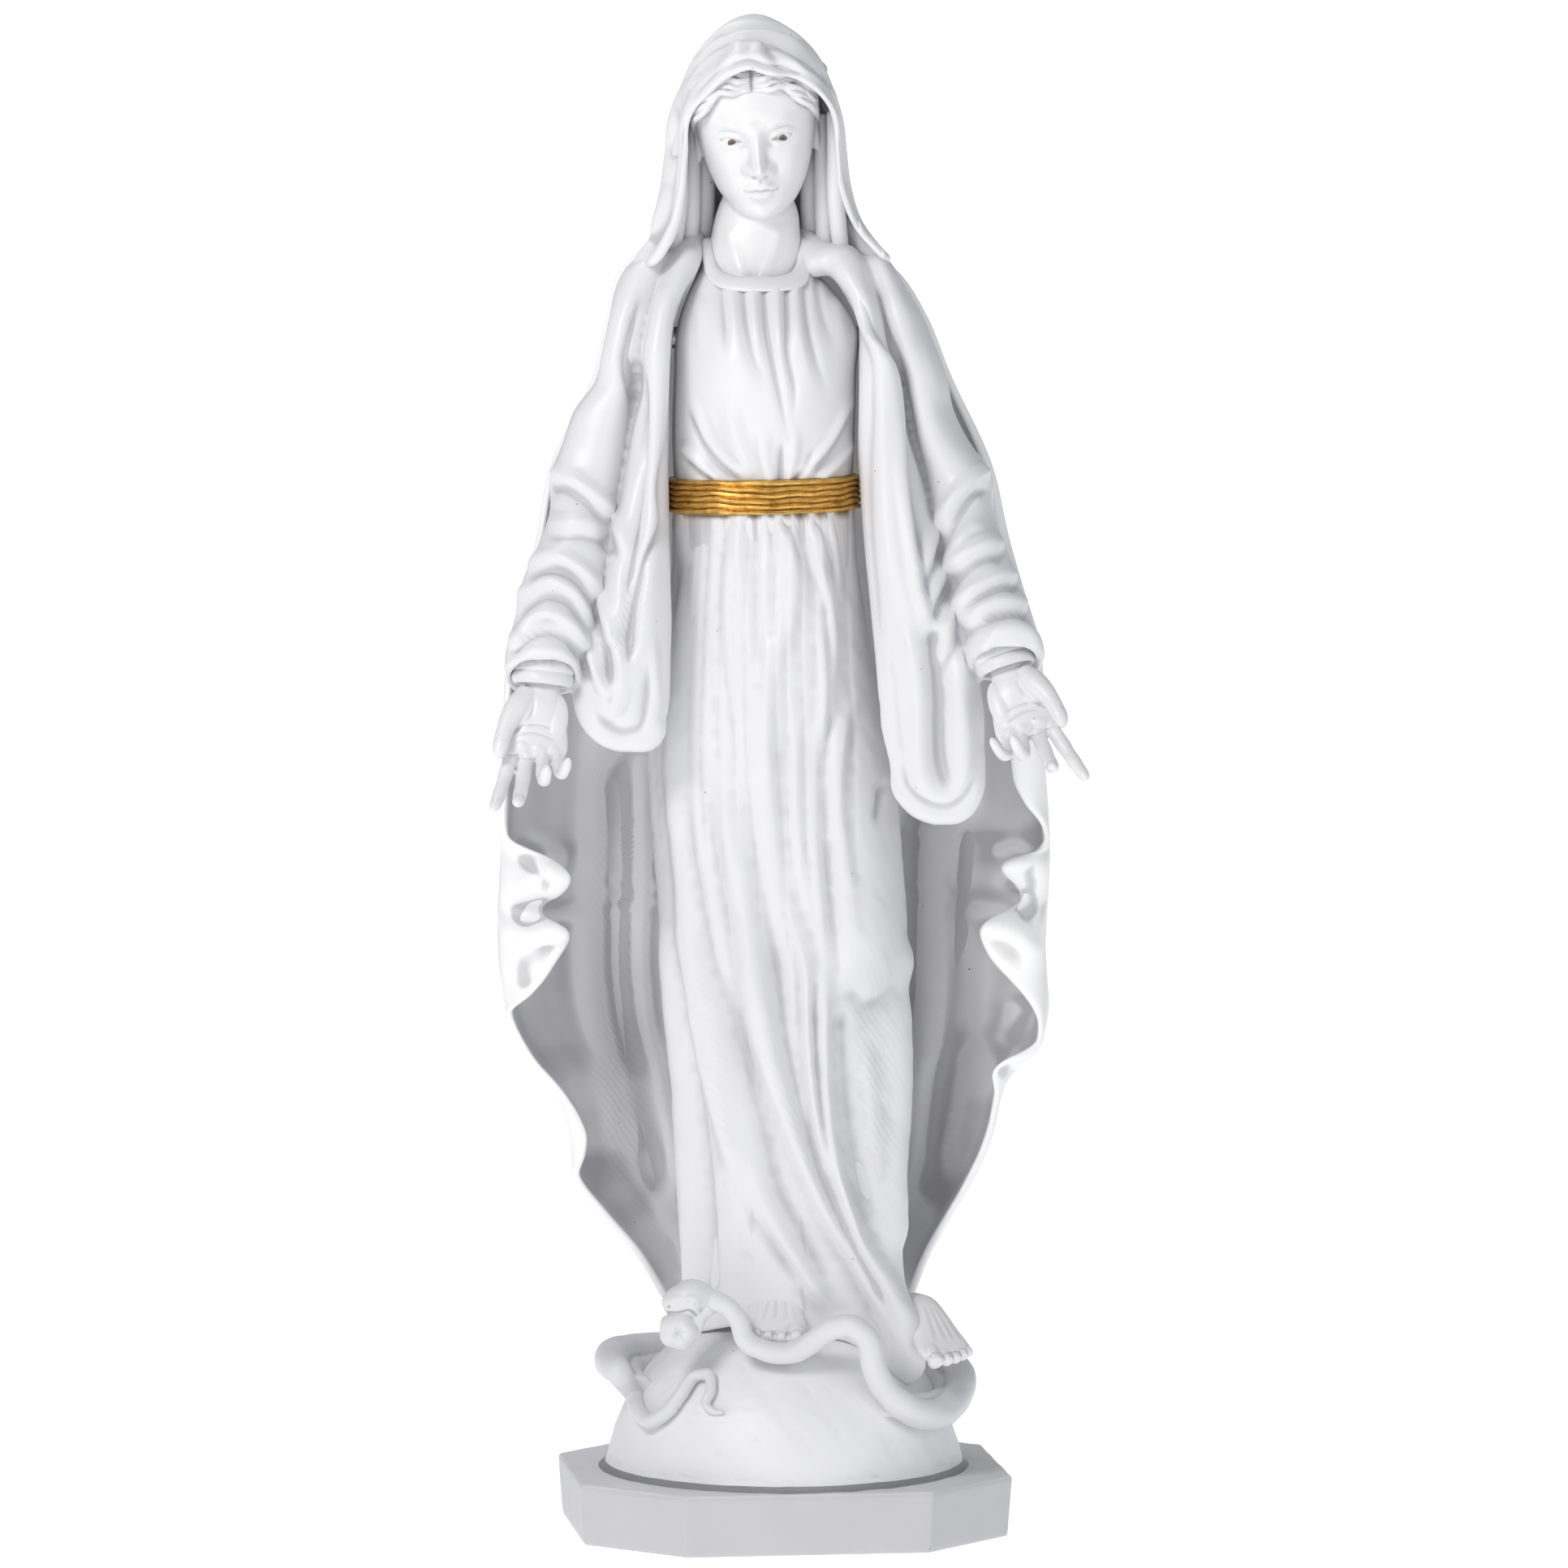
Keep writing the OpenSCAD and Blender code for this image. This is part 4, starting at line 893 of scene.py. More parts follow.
RIGHT_FOLDS = [
    # the edge that runs from the neck to the loop, and the layer under it
    fold([(-104, 1520), (-122, 1450), (-131, 1400), (-134, 1320), (-136, 1240), (-136, 1150), (-137, 1060),
          (-142, 985), (-152, 957)], 4.5, 6, 7, (0, 0.1)),
    fold([(-121, 1470), (-128, 1400), (-134, 1328), (-144, 1251), (-143, 1212), (-160, 1169), (-173, 1123),
          (-179, 1077), (-190, 1025), (-197, 998)], -8.5, 7, 5, (0.1, 0.15)),
    fold([(-128, 1470), (-140, 1400), (-146, 1328), (-156, 1251), (-156, 1215), (-172, 1172), (-186, 1123),
          (-192, 1080), (-204, 1035)], 5, 8, 8, (0.1, 0.2)),
    fold([(-146, 1515), (-163, 1437), (-169, 1380)], 6, 12, 7, (0.1, 0.3)),
    fold([(-158, 1500), (-176, 1441), (-185, 1405), (-175, 1370), (-171, 1287), (-176, 1210), (-183, 1148),
          (-185, 1097), (-192, 1046)], -12, 12, 8, (0.15, 0.1)),
    fold([(-170, 1330), (-172, 1240), (-176, 1180), (-182, 1120)], -6, 16, 9, (0.3, 0.2)),
    # the upper arm
    fold([(-186, 1490), (-206, 1430), (-224, 1360), (-250, 1300), (-270, 1262)], 5, 16, 16, (0.2, 0.2)),
    fold([(-196, 1400), (-220, 1350), (-240, 1300), (-236, 1262)], -4, 12, 12, (0.3, 0.3)),
    # breaks at the elbow and round the forearm
    fold([(-290, 1262), (-268, 1268), (-244, 1258), (-210, 1230), (-186, 1188), (-180, 1150)], 7, 9, 6,
         (0.1, 0.3)),
    fold([(-286, 1246), (-262, 1250), (-238, 1240), (-212, 1212), (-194, 1176)], -6.5, 6, 9, (0.1, 0.3)),
    fold([(-290, 1206), (-262, 1212), (-232, 1212), (-200, 1198), (-184, 1170)], 5, 8, 6, (0.2, 0.3)),
    fold([(-288, 1190), (-262, 1196), (-232, 1196), (-204, 1182), (-190, 1160)], -4.5, 5, 7, (0.2, 0.3)),
    fold([(-310, 1146), (-296, 1164), (-274, 1174), (-246, 1164), (-222, 1138), (-209, 1098), (-199, 1055),
          (-190, 1014)], 8, 9, 6, (0.1, 0.2)),
    fold([(-306, 1130), (-292, 1150), (-270, 1158), (-246, 1148), (-228, 1122), (-217, 1086), (-209, 1046),
          (-202, 1006)], -8, 6, 8, (0.1, 0.2)),
    fold([(-322, 1094), (-308, 1130), (-284, 1146), (-252, 1138), (-232, 1116), (-222, 1076),
          (-216, 1036)], 7.5, 9, 6, (0.1, 0.3)),
    fold([(-320, 1078), (-304, 1112), (-282, 1128), (-254, 1122), (-238, 1100), (-229, 1066)], -6, 6, 8,
         (0.1, 0.3)),
    fold([(-322, 1064), (-306, 1094), (-278, 1108), (-248, 1094), (-230, 1062), (-214, 1026),
          (-199, 1002)], 8, 9, 6, (0.1, 0.15)),
    fold([(-320, 1050), (-304, 1078), (-278, 1088), (-252, 1078), (-238, 1054), (-224, 1024),
          (-209, 996)], -6, 6, 8, (0.1, 0.15)),
    fold([(-326, 1034), (-314, 1056), (-292, 1067), (-266, 1066), (-246, 1054), (-236, 1030)], 5.5, 6, 6,
         (0.1, 0.2)),
    # the pocket of the loop
    fold([(-234, 1050), (-224, 1022), (-212, 1000), (-203, 992), (-195, 1002), (-187, 1030),
          (-181, 1080)], 6, 9, 7, (0.2, 0.2)),
    fold([(-206, 1080), (-204, 1050), (-202, 1020)], -12, 11, 11, (0.3, 0.5)),
    fold([(-252, 1020), (-240, 990), (-226, 967), (-205, 951), (-186, 946), (-166, 948), (-152, 957),
          (-143, 985)], 6, 9, 9, (0.1, 0.1)),
    fold([(-226, 996), (-210, 976), (-186, 968), (-170, 974), (-161, 1003), (-158, 1058)], -5, 8, 7,
         (0.2, 0.3)),
    fold([(-153, 1090), (-152, 1040), (-152, 990), (-166, 964)], 3.6, 5, 5, (0.3, 0.2)),
]
LEFT_FOLDS = [
    fold([(50, 1520), (68, 1470), (86, 1425), (90, 1364), (89, 1302), (90, 1240), (97, 1138), (106, 1046),
          (114, 969), (130, 897), (150, 868)], 4.5, 7, 6, (0, 0.1)),
    fold([(62, 1500), (84, 1452), (100, 1410), (103, 1350), (99, 1290), (98, 1230), (106, 1130),
          (114, 1040)], -5, 6, 6, (0.1, 0.2)),
    fold([(66, 1490), (96, 1440), (124, 1396), (136, 1340), (141, 1270), (149, 1210), (158, 1148),
          (173, 1086)], 7.5, 7, 11, (0.1, 0.1)),
    fold([(76, 1496), (106, 1446), (134, 1400), (146, 1340), (151, 1270), (159, 1210), (168, 1148),
          (180, 1090)], -8, 10, 6, (0.1, 0.1)),
    fold([(112, 1420), (118, 1330), (118, 1240), (128, 1140), (140, 1080)], 3.5, 10, 10, (0.3, 0.3)),
    fold([(120, 1500), (134, 1440), (150, 1370), (178, 1290), (206, 1250)], 5, 14, 14, (0.2, 0.3)),
    fold([(150, 1460), (172, 1390), (196, 1320), (226, 1280)], -4, 12, 14, (0.2, 0.3)),
    fold([(256, 1264), (238, 1268), (211, 1249), (180, 1200), (164, 1140)], 8, 6, 10, (0.1, 0.2)),
    fold([(250, 1246), (232, 1246), (210, 1226), (188, 1184), (174, 1132)], -6, 9, 6, (0.1, 0.2)),
    fold([(246, 1212), (220, 1206), (196, 1182), (180, 1140)], 4, 6, 8, (0.2, 0.3)),
    fold([(266, 1186), (240, 1188), (206, 1171), (180, 1136), (170, 1098)], 7, 6, 9, (0.1, 0.2)),
    fold([(268, 1170), (242, 1172), (210, 1154), (188, 1122), (178, 1090)], -6, 8, 6, (0.1, 0.2)),
    fold([(282, 1148), (262, 1152), (232, 1142), (201, 1114), (184, 1080)], 7.5, 6, 9, (0.1, 0.2)),
    fold([(284, 1132), (262, 1138), (234, 1127), (207, 1098), (192, 1066)], -6, 8, 6, (0.1, 0.2)),
    fold([(296, 1112), (272, 1122), (243, 1121), (211, 1103), (190, 1072), (180, 1040)], 7.5, 6, 9,
         (0.1, 0.2)),
    fold([(298, 1096), (272, 1107), (245, 1105), (216, 1085), (198, 1056), (190, 1026)], -6, 8, 6,
         (0.1, 0.2)),
    fold([(232, 1034), (236, 1066), (254, 1092), (276, 1098), (295, 1080), (304, 1046)], 6, 7, 7, (0.1, 0.1)),
    # long loop with its pocket
    fold([(178, 1096), (180, 1060), (183, 1020), (183, 975), (185, 935), (192, 905), (200, 888)], -19, 12, 13,
         (0.1, 0.3)),
    fold([(141, 1105), (152, 1060), (160, 1003), (160, 948), (167, 905), (186, 878)], 6, 14, 10, (0.2, 0.2)),
    fold([(199, 1100), (207, 1058), (209, 1003), (214, 948), (213, 910), (206, 880)], 7, 10, 10, (0.2, 0.2)),
    fold([(112, 1000), (124, 934), (138, 893), (156, 873), (178, 863), (202, 863), (220, 877), (234, 912),
          (238, 960)], 5, 8, 8, (0.1, 0.1)),
    fold([(136, 940), (148, 900), (170, 884), (194, 880), (212, 892), (222, 930)], -4, 6, 6, (0.2, 0.2)),
    fold([(122, 1090), (128, 1030), (134, 970), (144, 910)], -3, 8, 9, (0.3, 0.3)),
]


COLLAR_LINE = [(80, -36, 1506), (73, -12, 1522), (68, 20, 1536), (58, 54, 1546), (40, 78, 1552)]


def sweep_rings(way, radius, n, flat=1.0):
    """Rings of a round body along a line, with a radius for each place."""
    t = np.gradient(way, axis=0)
    t /= np.linalg.norm(t, axis=1)[:, None]
    u = np.cross(t[0], (0.3, 0.2, 1.0))
    a = np.linspace(0, 2 * math.pi, n, endpoint=False)
    rings = []
    for k in range(len(way)):
        u = u - t[k] * (u @ t[k])
        u /= np.linalg.norm(u)
        w = np.cross(t[k], u)
        rings.append(way[k] + radius[k] * (np.outer(np.cos(a), u) + flat * np.outer(np.sin(a), w)))
    return np.array(rings)


def level_ring(row, n, inset=0.0):
    xa, xb, ya, yb = row
    t = np.linspace(0, 2 * math.pi, n, endpoint=False)
    w = abs(xb - xa) / 2 - inset
    d = abs(yb - ya) / 2 - inset
    return np.stack([(xa + xb) / 2 + w * power(np.cos(t), 0.85),
                     (ya + yb) / 2 + d * power(np.sin(t), 0.85)], axis=1)


def drape(side, folds, voxel):
    """Sleeve and hanging loop of one side, fused, then folded."""
    rows = SLEEVE[side]
    n = 96
    wall = 8.0
    outer, inner = [], []
    for z in np.linspace(rows[0, 0], rows[-1, 0], 120):
        r = level_ring(section(rows, z), n)
        front = (rows[0, 3] + rows[0, 4]) / 2 - r[:, 1]
        lift = 0.62 * np.clip(front, -50, 50) * (1 - ramp(z, rows[0, 0], rows[0, 0] + 90)) + 0 * r[:, 0]
        outer.append(np.c_[r, z + lift])
        if z < rows[-1, 0] - 40:
            s = level_ring(section(rows, z), n, wall)
            inner.append(np.c_[s, z + lift])
    O = np.array(outer)
    I = np.array(inner)[::-1]
    top = O[-1].mean(0)
    roof = I[0].mean(0)
    stack = np.concatenate([I, O])
    m = len(stack)
    V = np.vstack([stack.reshape(-1, 3), top, roof])
    F = [tuple(f) for f in grid_faces(m, n, True)]
    k = np.arange(n)
    F += [(m * n, (m - 1) * n + a, (m - 1) * n + b) for a, b in zip(k, (k + 1) % n)]
    F += [(m * n + 1, b, a) for a, b in zip(k, (k + 1) % n)]
    rings = []
    loop = LOOP[side]
    for z in np.linspace(loop[0, 0], loop[-1, 0], 90):
        rings.append(np.c_[level_ring(section(loop, z), n), np.full(n, z)])
    across = 1 if side == "right" else -1
    spine = -38.0
    way = curve([(spine - across * x, y, z) for x, y, z in COLLAR_LINE], 30)
    collar = sweep_rings(way, hermite([0, 0.3, 0.7, 1], [17, 17, 16, 14], np.linspace(0, 1, 30)), 40)
    V, F = remesh(joined((V, F), tube_mesh(np.array(rings)), tube_mesh(collar)), voxel)
    Q = quad_array(F)
    V = relax(V, Q, 10)
    V, D = carve(V, Q, folds, limit=(-24, 20))
    V = relax(V, Q, 3)
    V = relax(V, Q, 40, keep=1 - ramp(V[:, 2], 1470, 1500))
    V = V + normals(V, Q) * (waver(V, 60, 41) * 0.4)[:, None]
    N = normals(V, Q)
    # painted shade on faces that look down
    under = ramp(-N[:, 2], 0.2, 0.8) * 0.4
    tool = bump(V[:, 2] - 1090, 60) * (D < -1.0) * 0.5
    # painted shade in the creases, the fold valleys and under the cloth
    return piece("mantle_drape_" + side, V, F, WHITE,
                 nodes=["sleeve_" + side, "mantle_front_" + side], tool=tool,
                 hollow=crease_shade(V, Q) + np.clip(-D * 0.02, 0, 0.35) + under)


def arm_frame(side):
    """Axes of the hand: across towards the little finger, palm to back, and back up the arm."""
    up = -REACH[side]
    across = np.cross((0, 1, 0), up)
    across /= np.linalg.norm(across)
    back = np.cross(up, across)
    return across, back, up


def cuff(side):
    across, back, up = arm_frame(side)
    n = 150
    t = np.linspace(0, 2 * math.pi, n, endpoint=False)
    profile = [(60, 31), (44, 34), (30, 36.5), (20, 37.5), (13, 36.5), (10, 35.0), (7, 36.0), (2, 36.5),
               (-3, 35.2), (-5.5, 32.5), (-4.5, 29.8), (2, 28.4), (20, 27.5), (44, 26.5)]
    dense = hermite(np.arange(len(profile)), np.array(profile, float), np.linspace(0, len(profile) - 1, 66))
    rings = []
    for s, r in dense:
        wave = 0.9 * np.sin(9 * t + s * 0.15) * ramp(s, 4, 30) + 0.35 * np.sin(23 * t) * ramp(s, 8, 24)
        rr = r + wave * (r > 29)
        tilt = 5 * np.sin(t)
        ring = WRIST[side] + np.outer(rr * np.cos(t), across) + np.outer(rr * np.sin(t) * 0.86, back)
        rings.append(ring + np.outer(s + 2 + tilt, up))
    V = np.array(rings).reshape(-1, 3)
    return piece("cuff_cast_" + side, V, band_faces(len(rings), n), WHITE,
                 nodes=["cuff_" + side])


drape("right", RIGHT_FOLDS, 3.0)
drape("left", LEFT_FOLDS, 3.0)
cuff("right")
cuff("left")

# ---------- mantle behind ----------
CAPE_EDGE = {  # height, x of the hem, y of the hem
    "right": np.array([
        (262, -134, 44), (300, -156, 26), (330, -173, 12), (374, -210, -2), (424, -246, -14),
        (447, -236, -24), (474, -233, -30), (500, -244, -28), (530, -266, -20), (561, -296, -22),
        (600, -318, -26), (622, -327, -30), (640, -302, -36), (662, -282, -36), (685, -268, -40),
        (705, -257, -48), (721, -254, -56), (728, -264, -50), (735, -278, -34), (746, -284, -26),
        (752, -279, -32), (762, -266, -48), (775, -253, -60), (789, -250, -64), (800, -260, -60),
        (810, -277, -50), (819, -300, -44), (827, -322, -42), (848, -334, -46), (900, -332, -56),
        (960, -329, -62), (1040, -322, -40), (1100, -306, 20), (1180, -288, 70), (1262, -273, 84),
        (1375, -220, 88), (1452, -203, 86), (1500, -190, 84), (1535, -150, 78)], float),
    "left": np.array([
        (262, 146, 44), (300, 158, 26), (330, 171, 12), (369, 192, 0), (407, 214, -10), (446, 233, -18),
        (485, 246, -24), (523, 252, -28), (552, 247, -34), (565, 260, -40), (577, 288, -40),
        (585, 303, -38), (602, 304, -38), (618, 300, -38), (642, 285, -40), (665, 265, -44),
        (691, 241, -52), (712, 231, -60), (724, 231, -62), (733, 238, -56), (742, 256, -44),
        (754, 277, -30), (764, 278, -30), (778, 271, -40), (790, 259, -52), (802, 258, -54),
        (810, 272, -48), (817, 298, -40), (830, 313, -38), (845, 309, -42), (871, 286, -48),
        (900, 271, -54), (929, 267, -58), (1000, 266, -50), (1060, 262, -20), (1110, 258, 30),
        (1180, 250, 76), (1262, 240, 84), (1375, 190, 88), (1452, 160, 86), (1500, 128, 84),
        (1535, 80, 78)], float)}
CAPE_SIDE = {  # height, furthest x of the mantle, y where it turns
    "right": np.array([
        (262, -138, 56), (330, -178, 40), (374, -214, 30), (424, -249, 22), (447, -249, 18),
        (474, -252, 16), (511, -262, 14), (561, -300, 14), (600, -322, 14), (640, -331, 14),
        (833, -333, 16), (900, -331, 10), (960, -330, 12), (1040, -325, 30), (1100, -311, 50),
        (1180, -292, 84), (1262, -277, 96), (1375, -223, 98), (1452, -206, 96), (1500, -193, 92),
        (1535, -154, 84)], float),
    "left": np.array([
        (262, 150, 56), (330, 175, 40), (369, 196, 30), (407, 218, 24), (446, 237, 20), (485, 250, 18),
        (523, 258, 16), (545, 268, 14), (575, 300, 14), (602, 309, 14), (697, 309, 14), (813, 314, 16),
        (850, 312, 14), (929, 307, 12), (1000, 306, 16), (1060, 302, 36), (1110, 286, 56), (1180, 266, 88),
        (1262, 248, 96), (1375, 196, 98), (1452, 164, 96), (1500, 132, 92), (1535, 84, 84)], float)}
CAPE_BACK = np.array([(262, 140), (340, 154), (450, 168), (610, 176), (860, 176), (1040, 170),
                      (1262, 156), (1375, 142), (1452, 130), (1500, 122), (1535, 116)], float)
CAPE_FOLDS = [
    # inside of the mantle beside the gown
    fold([(-206, 930), (-196, 800), (-200, 640), (-176, 480), (-140, 340)], -7, 22, 30, (0.1, 0.1)),
    fold([(-176, 930), (-170, 800), (-172, 640), (-150, 500), (-126, 360)], 8, 16, 12, (0.1, 0.1)),
    fold([(-238, 760), (-236, 640), (-214, 520), (-190, 400)], 6, 22, 22, (0.2, 0.2)),
    fold([(-150, 900), (-156, 780), (-160, 660), (-146, 520)], -5, 9, 12, (0.2, 0.2)),
    fold([(226, 860), (214, 760), (208, 640), (192, 500), (160, 350)], -7, 30, 22, (0.1, 0.1)),
    fold([(178, 860), (176, 740), (176, 600), (168, 470), (150, 340)], 8, 12, 16, (0.1, 0.1)),
    fold([(246, 700), (232, 600), (212, 480), (186, 380)], 6, 22, 22, (0.2, 0.2)),
    # turned-out edge, her right
    fold([(-326, 812), (-312, 806), (-292, 790), (-272, 776)], -6, 9, 9, (0.2, 0.2)),
    fold([(-330, 770), (-312, 772), (-290, 786), (-262, 792)], 6, 12, 12, (0.3, 0.1)),
    fold([(-286, 746), (-304, 740), (-326, 728)], -9, 9, 11, (0, 0.4)),
    fold([(-262, 722), (-288, 716), (-316, 696), (-328, 660)], 5, 12, 12, (0, 0.4)),
    fold([(-306, 640), (-316, 680), (-318, 730)], -4, 12, 12, (0.2, 0.4)),
    # turned-out edge, her left
    fold([(300, 848), (296, 800), (298, 760), (300, 700)], -4, 9, 12, (0.2, 0.3)),
    fold([(262, 800), (284, 806), (304, 800)], 6, 9, 9, (0, 0.4)),
    fold([(279, 758), (292, 752), (304, 736)], -9, 9, 10, (0, 0.4)),
    fold([(236, 726), (262, 724), (290, 704), (302, 664)], 6, 12, 12, (0, 0.4)),
    fold([(296, 640), (284, 600), (262, 560), (250, 520)], -5, 10, 12, (0.2, 0.3)),
    fold([(282, 620), (268, 580), (252, 556)], 5, 9, 9, (0.2, 0.3)),
]


def cape():
    cols = 196
    z = np.concatenate([np.linspace(262, 420, 26)[:-1], np.linspace(420, 560, 30)[:-1],
                        np.linspace(560, 900, 112)[:-1], np.linspace(900, 1080, 22)[:-1],
                        np.linspace(1080, 1535, 44)])
    back = hermite(CAPE_BACK[:, 0], CAPE_BACK[:, 1], z)
    halves = {}
    for side in ("right", "left"):
        hx = np.interp(z, CAPE_EDGE[side][:, 0], CAPE_EDGE[side][:, 1])
        hy = hermite(CAPE_EDGE[side][:, 0], CAPE_EDGE[side][:, 2], z)
        hx = 0.5 * hx + 0.5 * hermite(CAPE_EDGE[side][:, 0], CAPE_EDGE[side][:, 1], z)
        ex = hermite(CAPE_SIDE[side][:, 0], CAPE_SIDE[side][:, 1], z)
        ey = hermite(CAPE_SIDE[side][:, 0], CAPE_SIDE[side][:, 2], z)
        halves[side] = (hx, hy, ex, ey)
    G = np.empty((len(z), cols, 3))
    for j in range(len(z)):
        pts = []
        for side in ("right", "left"):
            hx, hy, ex, ey = [v[j] for v in halves[side]]
            out = math.copysign(1, ex)
            flap = abs(ex) - abs(hx)
            deep = max(6.0, ey - hy)
            way = [(hx, hy), (hx + out * flap * 0.45, hy + deep * 0.05),
                   (hx + out * flap * 0.85, hy + deep * 0.25), (ex, ey),
                   (ex * 0.985, ey + (back[j] - ey) * 0.40), (ex * 0.90, ey + (back[j] - ey) * 0.72),
                   (ex * 0.70, ey + (back[j] - ey) * 0.93), (ex * 0.40, back[j])]
            pts.append(way)
        line = pts[0] + [((pts[0][-1][0] + pts[1][-1][0]) / 2, back[j] + 2)] + pts[1][::-1]
        G[j, :, :2] = curve(line, cols)
        G[j, :, 2] = z[j]
    # falling folds over the back
    x = G[:, :, 0]
    wide = np.maximum(abs(halves["right"][2]), halves["left"][2])[:, None]
    fall = ramp(1480 - z, 0, 900)[:, None] * (1 - ramp(np.abs(x) / wide, 0.55, 0.85))
    fall = fall * ramp(G[:, :, 1], 60, 120)
    lean = x / wide * 300 + 12 * np.sin(z / 260)[:, None]
    G[:, :, 1] += 11 * fall * (np.cos(lean / 22.0) + 0.45 * np.cos(lean / 13.0 + 1))
    V0 = G.reshape(-1, 3)
    Q = grid_faces(len(z), cols)
    N = normals(V0, Q)
    N[:, :] = relax(N, Q, 4)
    N /= np.linalg.norm(N, axis=1)[:, None]
    N = N.reshape(G.shape)
    step = np.linalg.norm(np.diff(G, axis=1), axis=2).mean(1)
    from_edge = np.minimum(np.arange(cols), cols - 1 - np.arange(cols))[None, :] * step[:, None]
    from_hem = np.minimum(from_edge, (z - z[0])[:, None] + 0.3)
    e = np.clip(from_hem / 5.0, 0, 1)
    half = 0.5 + 3.4 * np.sqrt(1 - (1 - e) ** 2) + 1.2 * bump(from_edge - 6, 4.5)
    front = G + N * half[..., None]
    rear = G - N * half[..., None]
    V, F = sheet_mesh(front, rear)
    Q = quad_array(F)
    V, _ = carve(V, Q, deeper(CAPE_FOLDS, 1.35), limit=(-14, 14))
    V = relax(V, Q, 4)
    N = normals(V, Q)
    middle = np.abs(V[:, 0]) < 250
    inside = ramp(-N[:, 1], 0.0, 0.5) * ramp(V[:, 1], 0, 60)
    tool = inside * (bump(np.abs(V[:, 0]) - 190, 34)) * ramp(940 - V[:, 2], 0, 200) * middle
    # the forward-facing inside keeps the light tint as painted light; all other faces get painted shade, with
    # more in the creases
    return piece("mantle_back_cast", V, F, LIT_MANTLE_WHITE, nodes=["mantle_back"],
                 tool=tool * 0.4, hollow=crease_shade(V, Q) + 0.62 * (1 - inside))


cape()


# ---------- veil ----------
VEIL_RIM = [  # front edge from her right shoulder over the head to her left shoulder
    (-165, -58, 1519), (-148, -60, 1538), (-136, -56, 1564), (-129, -52, 1610), (-126, -54, 1660),
    (-120, -72, 1692),
    (-103, -88, 1716), (-66, -102, 1740), (-50, -105, 1745), (-31, -105, 1740), (-3, -101, 1736),
    (20, -94, 1727),
    (42, -82, 1709), (54, -68, 1688), (58, -58, 1652), (63, -50, 1610), (75, -54, 1574), (94, -58, 1548),
    (112, -60, 1526)]
VEIL_SIDE = [  # outermost line
    (-190, 4, 1500), (-181, 6, 1518), (-171, 6, 1534), (-163, 6, 1567), (-156, 6, 1605), (-151, 6, 1644),
    (-147, 6, 1683), (-130, 4, 1724), (-112, 2, 1760), (-72, -4, 1797), (-40, -6, 1801), (0, -2, 1788),
    (28, 2, 1762), (47, 4, 1724), (61, 6, 1683), (66, 6, 1644), (71, 6, 1605), (82, 6, 1567), (122, 4, 1512)]
VEIL_BACK = [(-40, 132, 1484), (-40, 128, 1560), (-40, 122, 1630), (-40, 108, 1690), (-40, 84, 1730),
             (-40, 108, 1690), (-40, 122, 1630), (-40, 128, 1560), (-40, 132, 1484)]
VEIL_FOLDS = [
    # bands over the crown
    fold([(-128, 1752), (-97, 1783), (-50, 1795), (-8, 1789), (22, 1772)], -5.5, 4, 5, (0.15, 0.2)),
    fold([(-124, 1742), (-96, 1771), (-50, 1786), (-6, 1781), (30, 1760)], 4.5, 6, 7, (0.15, 0.2)),
    fold([(-132, 1722), (-106, 1758), (-78, 1776), (-50, 1780), (-18, 1774), (14, 1758), (42, 1734),
          (54, 1714)], -7, 6, 4, (0.2, 0.1)),
    fold([(-136, 1700), (-112, 1744), (-80, 1768), (-52, 1775), (-22, 1766), (10, 1748), (40, 1722)], 3.5,
         5, 6, (0.2, 0.2)),
    # the peak at the middle and its two falling creases
    fold([(-60, 1774), (-76, 1768), (-94, 1749), (-108, 1728), (-122, 1704)], -3.0, 8, 10, (0.2, 0.2)),
    fold([(-54, 1770), (-66, 1764), (-84, 1746), (-100, 1724), (-116, 1700)], 2.6, 9, 9, (0.1, 0.2)),
    fold([(-34, 1772), (-24, 1764), (-10, 1750), (8, 1737), (20, 1732)], -3.2, 10, 7, (0.1, 0.2)),
    fold([(-44, 1772), (-34, 1760), (-20, 1747), (-6, 1741)], 2.2, 8, 9, (0.1, 0.3)),
    # rolled rim and the second edge beside it
    fold([(-127, 1672), (-120, 1696), (-102, 1720), (-66, 1744), (-50, 1749), (-30, 1744), (-3, 1740),
          (21, 1731), (43, 1713), (56, 1690), (60, 1652), (65, 1610), (77, 1574)], 2.6, 3.2, 3.2,
         (0.1, 0.1)),
    fold([(-127, 1706), (-106, 1730), (-70, 1753), (-50, 1758), (-28, 1752), (-2, 1748), (24, 1738),
          (48, 1718), (63, 1692), (67, 1652), (72, 1612), (84, 1578)], -3.0, 3.5, 5, (0.15, 0.15)),
    fold([(10, 1745), (34, 1733), (56, 1712), (63, 1690)], 3.6, 4, 5, (0.3, 0.3)),
    # long falls at her right
    fold([(-138, 1712), (-140, 1690), (-146, 1656), (-150, 1622)], -4, 4, 6, (0.3, 0.3)),
    fold([(-130, 1690), (-137, 1650), (-142, 1606), (-154, 1566), (-174, 1530)], -5, 5, 7, (0.2, 0.1)),
    fold([(-127, 1680), (-132, 1640), (-135, 1600), (-142, 1562), (-158, 1530), (-176, 1508)], 4.5, 5, 5,
         (0.2, 0.1)),
    fold([(-150, 1610), (-160, 1570), (-178, 1532), (-196, 1502)], 4, 7, 7, (0.3, 0.1)),
    # long falls at her left
    fold([(66, 1690), (70, 1640), (76, 1596), (88, 1562), (112, 1524), (134, 1500)], -3.4, 4, 4, (0.2, 0.1)),
    fold([(60, 1640), (66, 1600), (80, 1566), (104, 1534), (126, 1512)], 3.4, 4, 4, (0.2, 0.1)),
    fold([(84, 1590), (96, 1560), (120, 1524), (140, 1500)], 3, 5, 5, (0.2, 0.1)),
]


